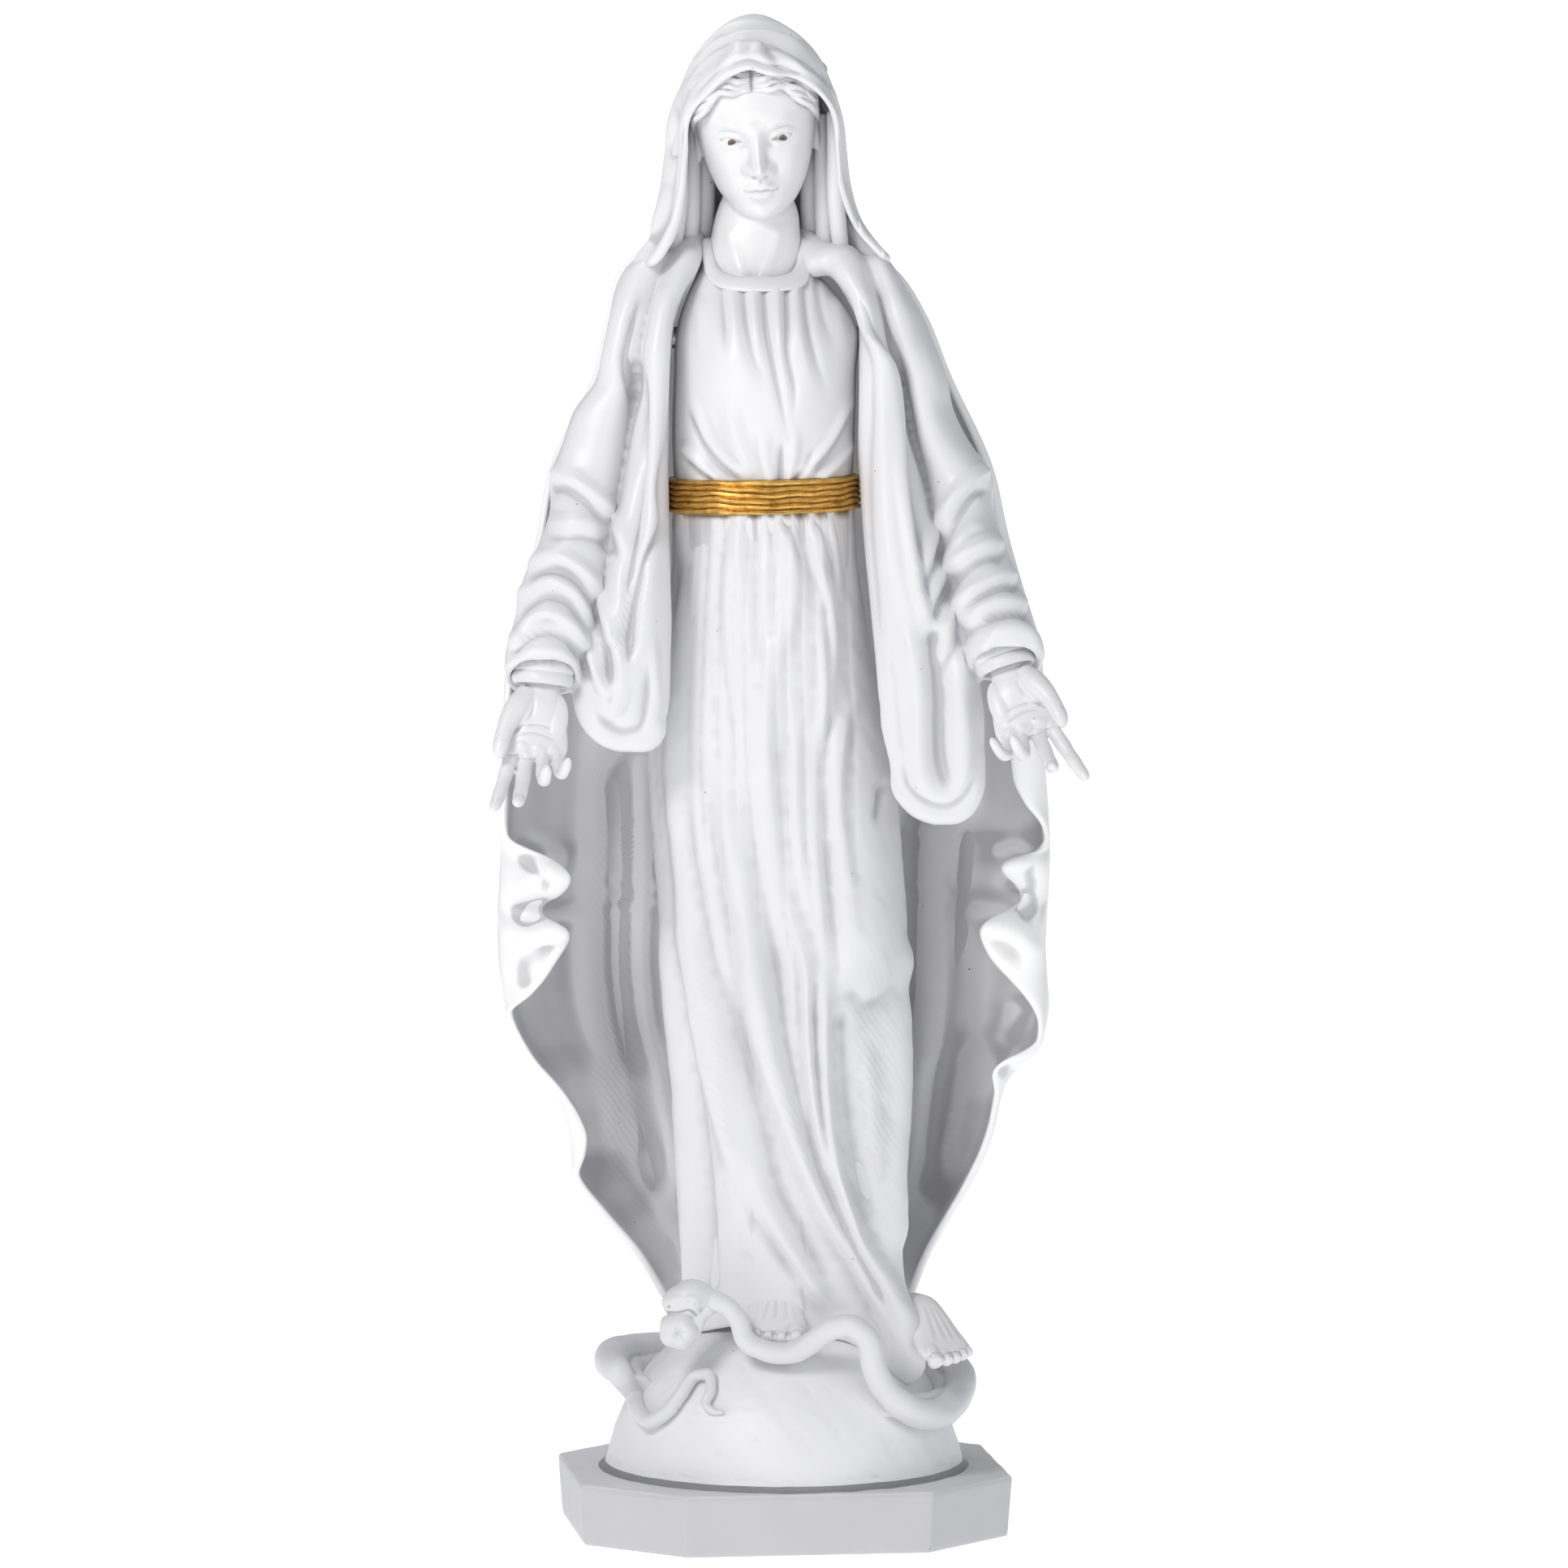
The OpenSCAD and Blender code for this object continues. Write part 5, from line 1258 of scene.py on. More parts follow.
NECK_X = -31.0
INNER_FALLS = [  # across from the middle of the neck, fore and aft, up; and the radius
    ([(88, -12, 1694), (92, -10, 1640), (93, -6, 1590), (98, 2, 1540), (104, 14, 1500)], 10),
    ([(76, 14, 1690), (79, 12, 1620), (80, 16, 1550), (86, 28, 1500)], 11),
    ([(62, 38, 1680), (64, 36, 1610), (65, 36, 1550), (68, 44, 1500)], 13)]


def veil():
    m, n = 178, 150
    rim = curve(VEIL_RIM, m)
    side = curve(VEIL_SIDE, m)
    back = hermite(np.linspace(0, 1, len(VEIL_BACK)), np.array(VEIL_BACK, float), np.linspace(0, 1, m))
    G = np.empty((m, n, 3))
    for k in range(m):
        r, s, b = rim[k], side[k], back[k]
        crown = math.sin(math.pi * k / (m - 1)) ** 2
        puff = r * 0.45 + s * 0.55 + np.array([0, -6.0, 0])
        puff[1] = r[1] * 0.62 + s[1] * 0.38
        first = r * 0.86 + s * 0.14
        first[1] = r[1] - 2
        quarter = s * 0.80 + b * 0.20 + (s - b) * 0.08 * (1 - crown) + np.array([0, 0, 18.0 * crown])
        half = s * 0.45 + b * 0.55 + (s - b) * 0.16 * (1 - crown) + np.array([0, 8.0, 30.0 * crown])
        most = s * 0.15 + b * 0.85 + (s - b) * 0.10 * (1 - crown) + np.array([0, 6.0, 16.0 * crown])
        G[k] = curve([r, first, puff, s, quarter, half, most, b], n)
    G = G[::-1]
    G[:, -1] = (G[:, -1] + G[::-1, -1]) / 2
    # soft falls behind
    t = np.linspace(0, 1, m)[:, None]
    w = np.linspace(0, 1, n)[None, :]
    low = ramp(np.abs(t - 0.5), 0.1, 0.45)
    G[:, :, 1] += 4.5 * low * ramp(w, 0.45, 0.7) * (1 - ramp(w, 0.93, 1.0)) * np.cos(w * 34 + 2 * t)
    Q = grid_faces(m, n)
    N = relax(normals(G.reshape(-1, 3), Q), Q, 3)
    N /= np.linalg.norm(N, axis=1)[:, None]
    N = N.reshape(G.shape)
    N[:, -1] = 0.5 * (N[:, -1] + N[::-1, -1])
    e = np.clip(np.arange(n) / 3.0, 0, 1)[None, :]
    f = np.clip(np.minimum(np.arange(m), m - 1 - np.arange(m)) / 2.0, 0, 1)[:, None]
    half_t = 0.4 + 3.2 * np.sqrt(1 - (1 - e) ** 2) * np.sqrt(1 - (1 - f) ** 2)
    V, F = sheet_mesh(G + N * half_t[..., None], G - N * half_t[..., None])
    Q = quad_array(F)
    out = np.r_[np.ones(m * n), np.zeros(m * n)]
    V, D = carve(V, Q, deeper(VEIL_FOLDS, 1.8), limit=(-14, 12))
    V = relax(V, Q, 2)
    V[:, 0] = 0.96 * V[:, 0] + 7.4
    # painted shade: the creases, the fold valleys and the whole inner layer are darker
    tone = crease_shade(V, Q) + np.clip(-D * 0.02, 0, 0.2) + 0.12 * (1 - out)
    # the folds that hang inside, beside the neck
    falls = []
    for across in (-1, 1):
        for line, r in INNER_FALLS:
            way = curve([(NECK_X + across * x, y, z) for x, y, z in line], 60)
            falls.append(tube_mesh(sweep_rings(way, r * hermite([0, 0.3, 1], [0.6, 1, 0.9],
                                                                np.linspace(0, 1, 60)), 28)))
    count = len(V)
    V, F = joined((V, F), *falls)
    tone = np.r_[tone, np.zeros(len(V) - count)]
    return piece("veil_cast", V, F, WHITE, nodes=["veil"], hollow=tone)


# ---------- head ----------
# The face is a calm one on schoolbook proportions: eyes at half the height of the head, the brow and
# the base of the nose at thirds below the hairline, the mouth a third of the way down to the chin.
# The head's centre is between the middle of the neck and the middle of the veil's crown, with the
# hair's depth below the veil. Its height is one part in seven and a half of hers, globe to crown.
HEAD_AT = np.array((-33.0, -8.0, 1679.0))
HEAD_SIZE = 1.027
NOD = math.radians(13)                # bowed forward
LEAN = math.radians(-5)               # crown towards her right
HEAD_ROWS = np.array([  # up, half width, front depth, back depth
    (-99, 12, 50, 2), (-97, 24, 62, 10), (-90, 36, 72, 26), (-76, 47, 76, 44), (-52, 57.5, 78, 64),
    (-22, 65, 80, 78), (8, 69.5, 83, 86), (38, 70, 81, 88), (66, 61, 68, 78), (86, 42, 46, 56),
    (96, 20, 22, 28),
    (99, 6, 7, 8)], float)
EYES, NOSE_BASE, MOUTH = 0.0, -40.0, -60.0
EYE_SPAN, EYE_HALF = 29.5, 13.0


def head_axes():
    cn, sn = math.cos(NOD), math.sin(NOD)
    cl, sl = math.cos(LEAN), math.sin(LEAN)
    nod = np.array([[1, 0, 0], [0, cn, -sn], [0, sn, cn]])
    lean = np.array([[cl, 0, sl], [0, 1, 0], [-sl, 0, cl]])
    return lean @ nod


TURN = head_axes()


def to_head(V):
    return (V - HEAD_AT) @ TURN / HEAD_SIZE


def from_head(L):
    return HEAD_SIZE * L @ TURN.T + HEAD_AT


def eye_shape(P, side):
    """How far inside the opening of the eye a place lies (minus outside), and its height in it."""
    p = (P[:, 0] - side * EYE_SPAN) / EYE_HALF * side
    q = P[:, 1] - EYES - 1.2 * p
    arc = np.maximum(0, 1 - p * p)
    top = 3.7 * arc ** 0.8
    foot = -3.0 * arc
    inside = np.minimum(top - q, q - foot)
    beyond = np.maximum(0, np.abs(p) - 1) * EYE_HALF
    return inside - beyond, q - top, foot - q


def features(P):
    """Forward relief of the face at front-view places (across, up)."""
    x, z = P[:, 0], P[:, 1]
    lumps = [
        (0, 44, 44, 26, 1.5), (34, 24, 16, 7, 2.6), (-34, 24, 16, 7, 2.6), (0, 16, 8, 10, -1.5),
        (EYE_SPAN + 1, 2, 15, 11, -8.0), (-EYE_SPAN - 1, 2, 15, 11, -8.0), (15, -2, 6, 9, -5.0),
        (-15, -2, 6, 9, -5.0), (40, -26, 20, 20, 4.5), (-40, -26, 20, 20, 4.5), (22, -46, 14, 16, -1.5),
        (-22, -46, 14, 16, -1.5), (0, -30, 13, 11, 5.0), (0, -60, 24, 13, 3.5), (0, -76, 14, 5, -2.5),
        (0, -89, 17, 10, 5.0), (12.5, -34, 5, 5.5, 7.0), (-12.5, -34, 5, 5.5, 7.0)]
    out = swell(P, lumps)
    ridge = hermite([-46, -41, -36, -30, -16, 0, 12, 24], [0, 7, 16.5, 17.5, 13.5, 9, 6, 0],
                    np.clip(z, -46, 24))
    wide = hermite([-46, -36, -28, -10, 8, 24], [9, 9.5, 7.5, 6.0, 6.5, 12], np.clip(z, -46, 24))
    out += ridge * np.exp(-np.abs(x / wide) ** 2.2) * (z > -46) * (z < 24)
    for s in (-1, 1):
        out -= 4.5 * np.exp(-((x - s * 6.2) / 3.0) ** 2 - ((z + 42.5) / 2.6) ** 2)
        out -= 1.6 * np.exp(-((x - s * 19) / 4) ** 2 - ((z + 36) / 6) ** 2)
        inside, above, below = eye_shape(P, s)
        out += -3.2 * ramp(inside, -0.6, 1.4)
        near = np.exp(-((x - s * EYE_SPAN) / (EYE_HALF * 1.15)) ** 4)
        out += near * (4.2 * bump(above - 2.2, 2.6) + 2.4 * bump(below - 1.8, 2.0))
        out += near * (3.5 * bump(above - 5.5, 5.5) - 1.8 * bump(above - 9.5, 1.5))
    folds = [
        # upper lip, the line of the mouth, lower lip
        fold([(-21, MOUTH + 0.8), (-12, MOUTH + 3.4), (-4, MOUTH + 5.8), (0, MOUTH + 4.6), (4, MOUTH + 5.8),
              (12, MOUTH + 3.4), (21, MOUTH + 0.8)], 3.0, 2.6, 2.8, (0.2, 0.2)),
        fold([(-24, MOUTH + 1.2), (-14, MOUTH), (-5, MOUTH + 0.8), (0, MOUTH), (5, MOUTH + 0.8), (14, MOUTH),
              (24, MOUTH + 1.2)], -3.0, 1.3, 1.3, (0.12, 0.12)),
        fold([(-16, MOUTH - 3.4), (-8, MOUTH - 5.8), (0, MOUTH - 6.6), (8, MOUTH - 5.8),
              (16, MOUTH - 3.4)], 4.0, 3.4, 3.2, (0.25, 0.25)),
        fold([(0, NOSE_BASE - 4), (0, MOUTH + 9)], -1.2, 2.2, 2.2, (0.2, 0.2)),
        # brows: a soft edge, not hair
        fold([(12, 10), (20, 18), (34, 21), (50, 14)], 2.2, 3.0, 5.0, (0.3, 0.4)),
        fold([(-50, 14), (-34, 21), (-20, 18), (-12, 10)], 2.2, 3.0, 5.0, (0.4, 0.3)),
    ]
    return out + relief(P, folds)


def head():
    n = 84
    t = np.linspace(0, 2 * math.pi, n, endpoint=False)
    rings = []
    for v in np.linspace(-99, 99, 90):
        w, front, back = section(HEAD_ROWS, v)
        y = np.where(np.sin(t) < 0, front, back) * power(np.sin(t), 0.94)
        rings.append(from_head(np.c_[w * power(np.cos(t), 0.94), y, np.full(n, v)]))
    skull = tube_mesh(np.array(rings))
    neck_rows = np.array([(1478, -33, 4, 72, 62), (1500, -33, 4, 62, 53), (1520, -33, 4, 56, 47),
                          (1545, -33, 3, 53, 44), (1575, -31, 8, 48, 42), (1600, -31, 14, 38, 36)], float)
    rings = []
    for z in np.linspace(1478, 1600, 40):
        xc, yc, w, d = section(neck_rows, z)
        rings.append(np.c_[xc + w * np.cos(t), yc + d * np.sin(t), np.full(n, z)])
    neck = tube_mesh(np.array(rings))
    bodies = [skull, neck]
    for s in (-1, 1):
        rings = []
        for u in np.linspace(-1, 1, 24):
            r = math.sqrt(max(0.0004, 1 - u * u))
            ear = np.c_[s * (68 - 1.5 * u) + 7 * r * np.cos(t) * s,
                        14 + 6 * u + 13 * r * np.sin(t) * (1 + 0.25 * u), np.full(n, -14 + 31 * u)]
            rings.append(from_head(ear))
        ring_stack = np.array(rings)
        bodies.append(tube_mesh(ring_stack if s > 0 else ring_stack[:, ::-1]))
    V, F = remesh(joined(*bodies), HEAD_VOXEL)
    Q = quad_array(F)
    V = relax(V, Q, 8)
    L = to_head(V)
    N = normals(V, Q) @ TURN
    rise = features(L[:, [0, 2]])
    facing = ramp(-N[:, 1], 0.15, 0.6) * (L[:, 1] < -10)
    L[:, 1] -= rise * facing
    ear = np.exp(-((L[:, 1] - 12) / 7) ** 2 - ((L[:, 2] + 12) / 17) ** 2) * ramp(np.abs(L[:, 0]), 71, 74)
    L[:, 0] -= np.sign(L[:, 0]) * 4.5 * ear
    V = from_head(L)
    V = relax(V, Q, 2)
    throat = [fold([(-66, 1560), (-60, 1530), (-46, 1500)], 2.2, 7, 7, (0.2, 0.2)),
              fold([(-6, 1560), (-12, 1530), (-24, 1500)], 2.2, 7, 7, (0.2, 0.2)),
              fold([(-40, 1510), (-35, 1498), (-30, 1510)], -2.0, 6, 6, (0.3, 0.3))]
    low = V[:, 2] < 1562
    V2, _ = carve(V, Q, throat)
    V[low] = V2[low]
    return piece("head_cast", V, F, SKIN_WHITE, nodes=["head"])


def eye(side):
    """Glass eye set behind the lids, looking a little down; the paint reads how far round from its middle."""
    m, n = 60, 72
    name = "right" if side < 0 else "left"
    gaze = np.array((0.06, -1.0, -0.26))
    gaze = gaze / np.linalg.norm(gaze)
    a = np.linspace(0, math.pi, m)[1:-1]
    t = np.linspace(0, 2 * math.pi, n, endpoint=False)
    u = np.cross(gaze, (0, 0, 1))
    u /= np.linalg.norm(u)
    w = np.cross(u, gaze)
    bulge = 11.3 + 0.7 * np.exp(-(a / 0.40) ** 2)
    rings = [r * (math.cos(k) * gaze + math.sin(k) * (np.outer(np.cos(t), u) + np.outer(np.sin(t), w)))
             for k, r in zip(a, bulge)]
    V = np.array(rings).reshape(-1, 3)
    V = np.vstack([V, 12.0 * gaze, -11.3 * gaze])
    F = [tuple(f) for f in grid_faces(len(a), n, True)]
    k = np.arange(n)
    o = len(a) * n
    F += [(o, y, x) for x, y in zip(k, (k + 1) % n)]
    F += [(o + 1, o - n + x, o - n + y) for x, y in zip(k, (k + 1) % n)]
    round_mark = np.r_[np.repeat(a, n), 0, math.pi] / 0.60
    V = V + np.array((side * EYE_SPAN, EYE_DEPTH, EYES + 0.8))
    return piece("glass_eye_" + name, from_head(V), F, EYE, nodes=["eye_" + name],
                 flow=np.clip(round_mark, 0, 1))


EYE_DEPTH = -61.0


# ---------- hair ----------
def scalp(x, up, off):
    """Place on the head, forward side, at (across, up) of the head's own frame and off mm above the skin."""
    w, front, _ = section(HEAD_ROWS, up)
    w = w + off
    front = front + off
    side = np.clip(np.abs(x) / w, 0, 0.9999)
    return np.stack([x, -front * (1 - side ** 2.1) ** 0.47, up + 0 * x], axis=-1)


def lock_line(side, e, n=26):
    """One lock from the parting, over the temple and down behind the ear.

    e runs from 0 at the brow to 1 under the veil.
    """
    u = np.linspace(0, 1, n)
    x = hermite([0, 0.25, 0.5, 0.72, 0.88, 1], np.array([1.5, 28 - 4 * e, 51 - 4 * e, 66 + 1.5 * e, 72,
                                                         73]), u)
    up = hermite([0, 0.25, 0.5, 0.72, 0.88, 1], np.array([53 + 30 * e, 53 + 27 * e, 40 + 28 * e, 17 + 26 * e,
                                                         -2 + 20 * e, -22 + 12 * e]), u)
    phase = 6.0 * e + (0.7 if side > 0 else 0) + 0.5 * math.sin(37 * e)
    up = up + 3.0 * np.sin(u * 17 + phase) * ramp(u, 0.04, 0.2)
    off = 3.5 + 5.5 * ramp(u, 0, 0.3) + (1.8 * np.cos(u * 17 + phase) + 2.0 * math.sin(24 * e)) * ramp(u,
                                                                                                       0.04,
                                                                                                       0.2)
    P = scalp(x * side, up, off)
    back = ramp(u, 0.70, 1.0)
    P[:, 0] = P[:, 0] * (1 - back) + side * 72 * back
    P[:, 1] = P[:, 1] * (1 - back) + back * (-6 + 34 * u)
    return from_head(P)


def strand_group():
    """Geometry nodes: every guide line becomes a rounded, tapering lock with the hair's finish."""
    g = bpy.data.node_groups.new("hair_locks", "GeometryNodeTree")
    g.interface.new_socket("Guides", in_out="INPUT", socket_type="NodeSocketGeometry")
    size = g.interface.new_socket("Thickness", in_out="INPUT", socket_type="NodeSocketFloat")
    size.default_value = 0.0038
    sides = g.interface.new_socket("Sides", in_out="INPUT", socket_type="NodeSocketInt")
    sides.default_value = 10
    g.interface.new_socket("Geometry", in_out="OUTPUT", socket_type="NodeSocketGeometry")
    inp = g.nodes.new("NodeGroupInput")
    out = g.nodes.new("NodeGroupOutput")
    spot = g.nodes.new("GeometryNodeSplineParameter")
    taper = g.nodes.new("ShaderNodeFloatCurve")
    line = taper.mapping.curves[0]
    line.points[0].location = (0.0, 0.35)
    line.points[1].location = (1.0, 0.25)
    line.points.new(0.12, 0.95)
    line.points.new(0.5, 1.0)
    line.points.new(0.85, 0.75)
    rad = g.nodes.new("ShaderNodeMath")
    rad.operation = "MULTIPLY"
    ring = g.nodes.new("GeometryNodeCurvePrimitiveCircle")
    ring.inputs["Radius"].default_value = 1.0
    body = g.nodes.new("GeometryNodeCurveToMesh")
    body.inputs["Fill Caps"].default_value = True
    real = g.nodes.new("GeometryNodeRealizeInstances")
    paint = g.nodes.new("GeometryNodeSetMaterial")
    paint.inputs["Material"].default_value = WHITE
    set_r = g.nodes.new("GeometryNodeSetCurveRadius")
    link = g.links.new
    link(spot.outputs["Factor"], taper.inputs["Value"])
    link(taper.outputs["Value"], rad.inputs[0])
    link(inp.outputs["Thickness"], rad.inputs[1])
    link(inp.outputs["Guides"], set_r.inputs["Curve"])
    link(rad.outputs[0], set_r.inputs["Radius"])
    link(inp.outputs["Sides"], ring.inputs["Resolution"])
    link(set_r.outputs["Curve"], body.inputs["Curve"])
    link(ring.outputs["Curve"], body.inputs["Profile Curve"])
    if "Scale" in body.inputs:
        link(rad.outputs[0], body.inputs["Scale"])
    link(body.outputs["Mesh"], real.inputs["Geometry"])
    link(real.outputs["Geometry"], paint.inputs["Geometry"])
    link(paint.outputs["Geometry"], out.inputs["Geometry"])
    return g


def hair():
    lines = bpy.data.curves.new("guides", "CURVE")
    lines.dimensions = "3D"
    for side in (-1, 1):
        for e in np.linspace(0.22, 1.5, 17):
            pts = place(lock_line(side, e)) * MM
            s = lines.splines.new("POLY")
            s.points.add(len(pts) - 1)
            for p, q in zip(s.points, pts):
                p.co = (*q, 1)
    o = bpy.data.objects.new("guides", lines)
    bpy.context.scene.collection.objects.link(o)
    mod = o.modifiers.new("locks", "NODES")
    mod.node_group = strand_group()
    out = bpy.data.meshes.new_from_object(o.evaluated_get(bpy.context.evaluated_depsgraph_get()))
    V, F = arrays(out)
    bpy.data.objects.remove(o)
    # underlayer that the locks lie on
    m, n = 60, 60
    caps = []
    for side in (-1, 1):
        e = np.linspace(0.26, 1.5, m)
        G = np.array([to_head(lock_line(side, k, n)) for k in e])
        centre = np.array((0, 0, 10.0))
        N = G - centre
        N /= np.linalg.norm(N, axis=2)[..., None]
        a, b = place(from_head((G - N * 4.0).reshape(-1, 3))), place(from_head((G - N * 9).reshape(-1, 3)))
        a, b = a.reshape(G.shape), b.reshape(G.shape)
        caps.append(sheet_mesh(a, b) if side < 0 else sheet_mesh(b, a))
    locks = len(V)
    V, F = joined((V, F), *caps)
    # painted shade: the underlayer between the locks is darker
    tone = np.r_[np.zeros(locks), np.full(len(V) - locks, 0.8)]
    return piece("hair_cast", V, F, WHITE, nodes=["hair"], turned=False, hollow=tone)


veil()
head()
eye(-1)
eye(1)
hair()


# ---------- hands ----------
# In the hand's own frame: x towards the little finger of her right hand, y to the back of the hand,
# z back up the arm; the wrist is at the origin.
FINGER_X = (-26.0, -9.0, 9.0, 25.0)
FINGER_LONG = ((44, 27, 21), (47, 30, 22), (44, 28, 21), (36, 22, 18))
FINGER_R = (8.7, 8.9, 8.3, 7.3)
CURL = {"right": ((8, 14, 18), (14, 24, 28), (30, 46, 40), (34, 52, 44)),
        "left": ((4, 8, 10), (16, 26, 28), (32, 52, 44), (34, 56, 48))}
SPREAD = {"right": (10, 3, -5, -12), "left": (14, 4, -6, -14)}
PALM = np.array([  # up the hand, middle x, middle y, half width, half depth
    (-94, 0, 1, 33, 9.5), (-82, 0, 0, 37, 12.5), (-58, -1, 0, 36, 14), (-34, -2, -1, 30.5, 16),
    (-14, 0, 0, 23, 15.5),
    (0, 0, 0, 20.5, 15), (14, 0, 0, 21, 15.5), (34, 0, 0, 22, 16)], float)


def finger_bones(side, f):
    s = math.radians(-SPREAD[side][f])
    p = np.array((FINGER_X[f], 0.0, -84.0))
    bones = [p]
    bend = 0.0
    for long, more in zip(FINGER_LONG[f], CURL[side][f]):
        bend += math.radians(more)
        p = p + long * np.array((math.sin(s), -math.sin(bend), -math.cos(bend)))
        bones.append(p)
    return bones


def finger_body(bones, r, start):
    """A finger with a slight waist between its joints and a rounded tip."""
    way = curve([start] + bones, 56)
    s = np.linspace(0, 1, 56)
    rad = r * hermite([0, 0.2, 0.32, 0.46, 0.58, 0.70, 0.80, 0.90, 0.96, 1.0],
                      [1.05, 1.08, 1.0, 1.04, 0.93, 0.96, 0.87, 0.80, 0.62, 0.25], s)
    return tube_mesh(sweep_rings(way, rad, 28))


def lump(at, rx, ry, rz, n=28):
    t = np.linspace(0, 2 * math.pi, n, endpoint=False)
    a = np.linspace(-math.pi / 2 + 0.06, math.pi / 2 - 0.06, n)
    R = np.array([np.c_[rx * math.cos(k) * np.cos(t), ry * math.cos(k) * np.sin(t),
                        np.full(n, rz * math.sin(k))] for k in a])
    return tube_mesh(R + np.array(at, float))


def hand(side):
    across, back, up = arm_frame(side)
    mirror = 1.0 if side == "right" else -1.0
    M = np.stack([across * mirror, back, up], axis=1)
    n = 48
    t = np.linspace(0, 2 * math.pi, n, endpoint=False)
    rings = []
    for z in np.linspace(-94, 34, 60):
        xc, yc, w, d = section(PALM, z)
        rings.append(np.c_[xc + w * power(np.cos(t), 0.86), yc + d * power(np.sin(t), 0.86), np.full(n, z)])
    bodies = [tube_mesh(np.array(rings))]
    for f in range(4):
        bones = finger_bones(side, f)
        start = np.array((FINGER_X[f] * 0.86, 1.0, -66.0))
        bodies.append(finger_body(bones, FINGER_R[f], start))
    thumb = [(-15, -3, -14), (-25, -9, -34), (-34, -15, -54), (-39, -19, -74), (-41, -21, -90),
             (-41, -22, -104)]
    way = curve(thumb, 50)
    rad = hermite([0, 0.25, 0.45, 0.6, 0.72, 0.85, 0.94, 1.0], [13, 15, 12.5, 10.5, 10, 9.4, 7.2, 3.0],
                  np.linspace(0, 1, 50))
    bodies.append(tube_mesh(sweep_rings(way, rad, 30)))
    bodies += [lump((-18, -7, -40), 17, 11, 27), lump((21, -6, -46), 14, 9, 32),
               lump((2, -2, -46), 24, 10, 30), lump((-15, -6, -82), 12, 8, 10),
               lump((4, -6, -84), 12, 8, 9), lump((20, -5, -82), 10, 8, 9)]
    V, F = remesh(joined(*bodies), HAND_VOXEL)
    Q = quad_array(F)
    V = relax(V, Q, 6)
    N = normals(V, Q)
    palm = ramp(-N[:, 1], 0.1, 0.5)
    marks = [
        fold([(-24, -70), (-8, -66), (10, -68), (24, -74)], -0.9, 1.4, 1.8, (0.2, 0.2)),
        fold([(-32, -70), (-14, -58), (4, -56), (20, -60)], -0.9, 1.4, 1.8, (0.2, 0.2)),
        fold([(-31, -68), (-16, -56), (-8, -40), (-7, -22)], -1.0, 1.7, 2.4, (0.2, 0.2)),
        fold([(-17, -2), (0, -4), (17, -2)], -0.7, 1.3, 1.4, (0.2, 0.2)),
        fold([(-16, -7), (0, -9), (16, -7)], -0.5, 1.2, 1.2, (0.2, 0.2)),
        fold([(-34, -92), (-26, -94), (-18, -93)], -1.2, 1.2, 1.2, (0.2, 0.2)),
        fold([(-17, -95), (-9, -97), (-1, -95)], -1.2, 1.2, 1.2, (0.2, 0.2)),
        fold([(-58, -84), (-50, -82), (-44, -78)], -1.2, 1.2, 1.2, (0.2, 0.2))]
    V = V + N * (relief(V[:, [0, 2]], marks) * palm * (V[:, 1] < 2))[:, None]
    # knuckles and tendons on the back of the hand
    rear = ramp(N[:, 1], 0.1, 0.5)
    knuckles = [(x, -86, 6.5, 7, 2.4) for x in FINGER_X]
    cords = [fold([(x * 0.35, -20), (x * 0.8, -60), (x, -84)], 1.3, 3, 3, (0.3, 0.1)) for x in FINGER_X]
    V = V + N * ((swell(V[:, [0, 2]], knuckles) + relief(V[:, [0, 2]], cords)) * rear * (V[:,
                                                                                           2] > -96))[:,
                                                                                                      None]
    V = relax(V, Q, 2)
    # painted shade in the creases of the hand
    tone = np.clip(2.0 * crease_shade(V, Q), 0, 1)
    V = WRIST[side] + V @ M.T
    return piece("hand_cast_" + side, V, F, SKIN_WHITE, body=side + "_hand",
                 nodes=["hand_" + side], flip=mirror < 0, hollow=tone)


# ---------- feet ----------
FOOT = np.array([  # share of the length, middle x, height of the middle, half width, half height
    (0, 0, 20, 17, 17), (0.21, 0, 25, 22, 20), (0.43, -1, 21, 27, 18), (0.62, -2, 16, 32, 13),
    (0.78, -2, 12, 35, 9.5),
    (0.86, -2, 10, 34, 7)], float)


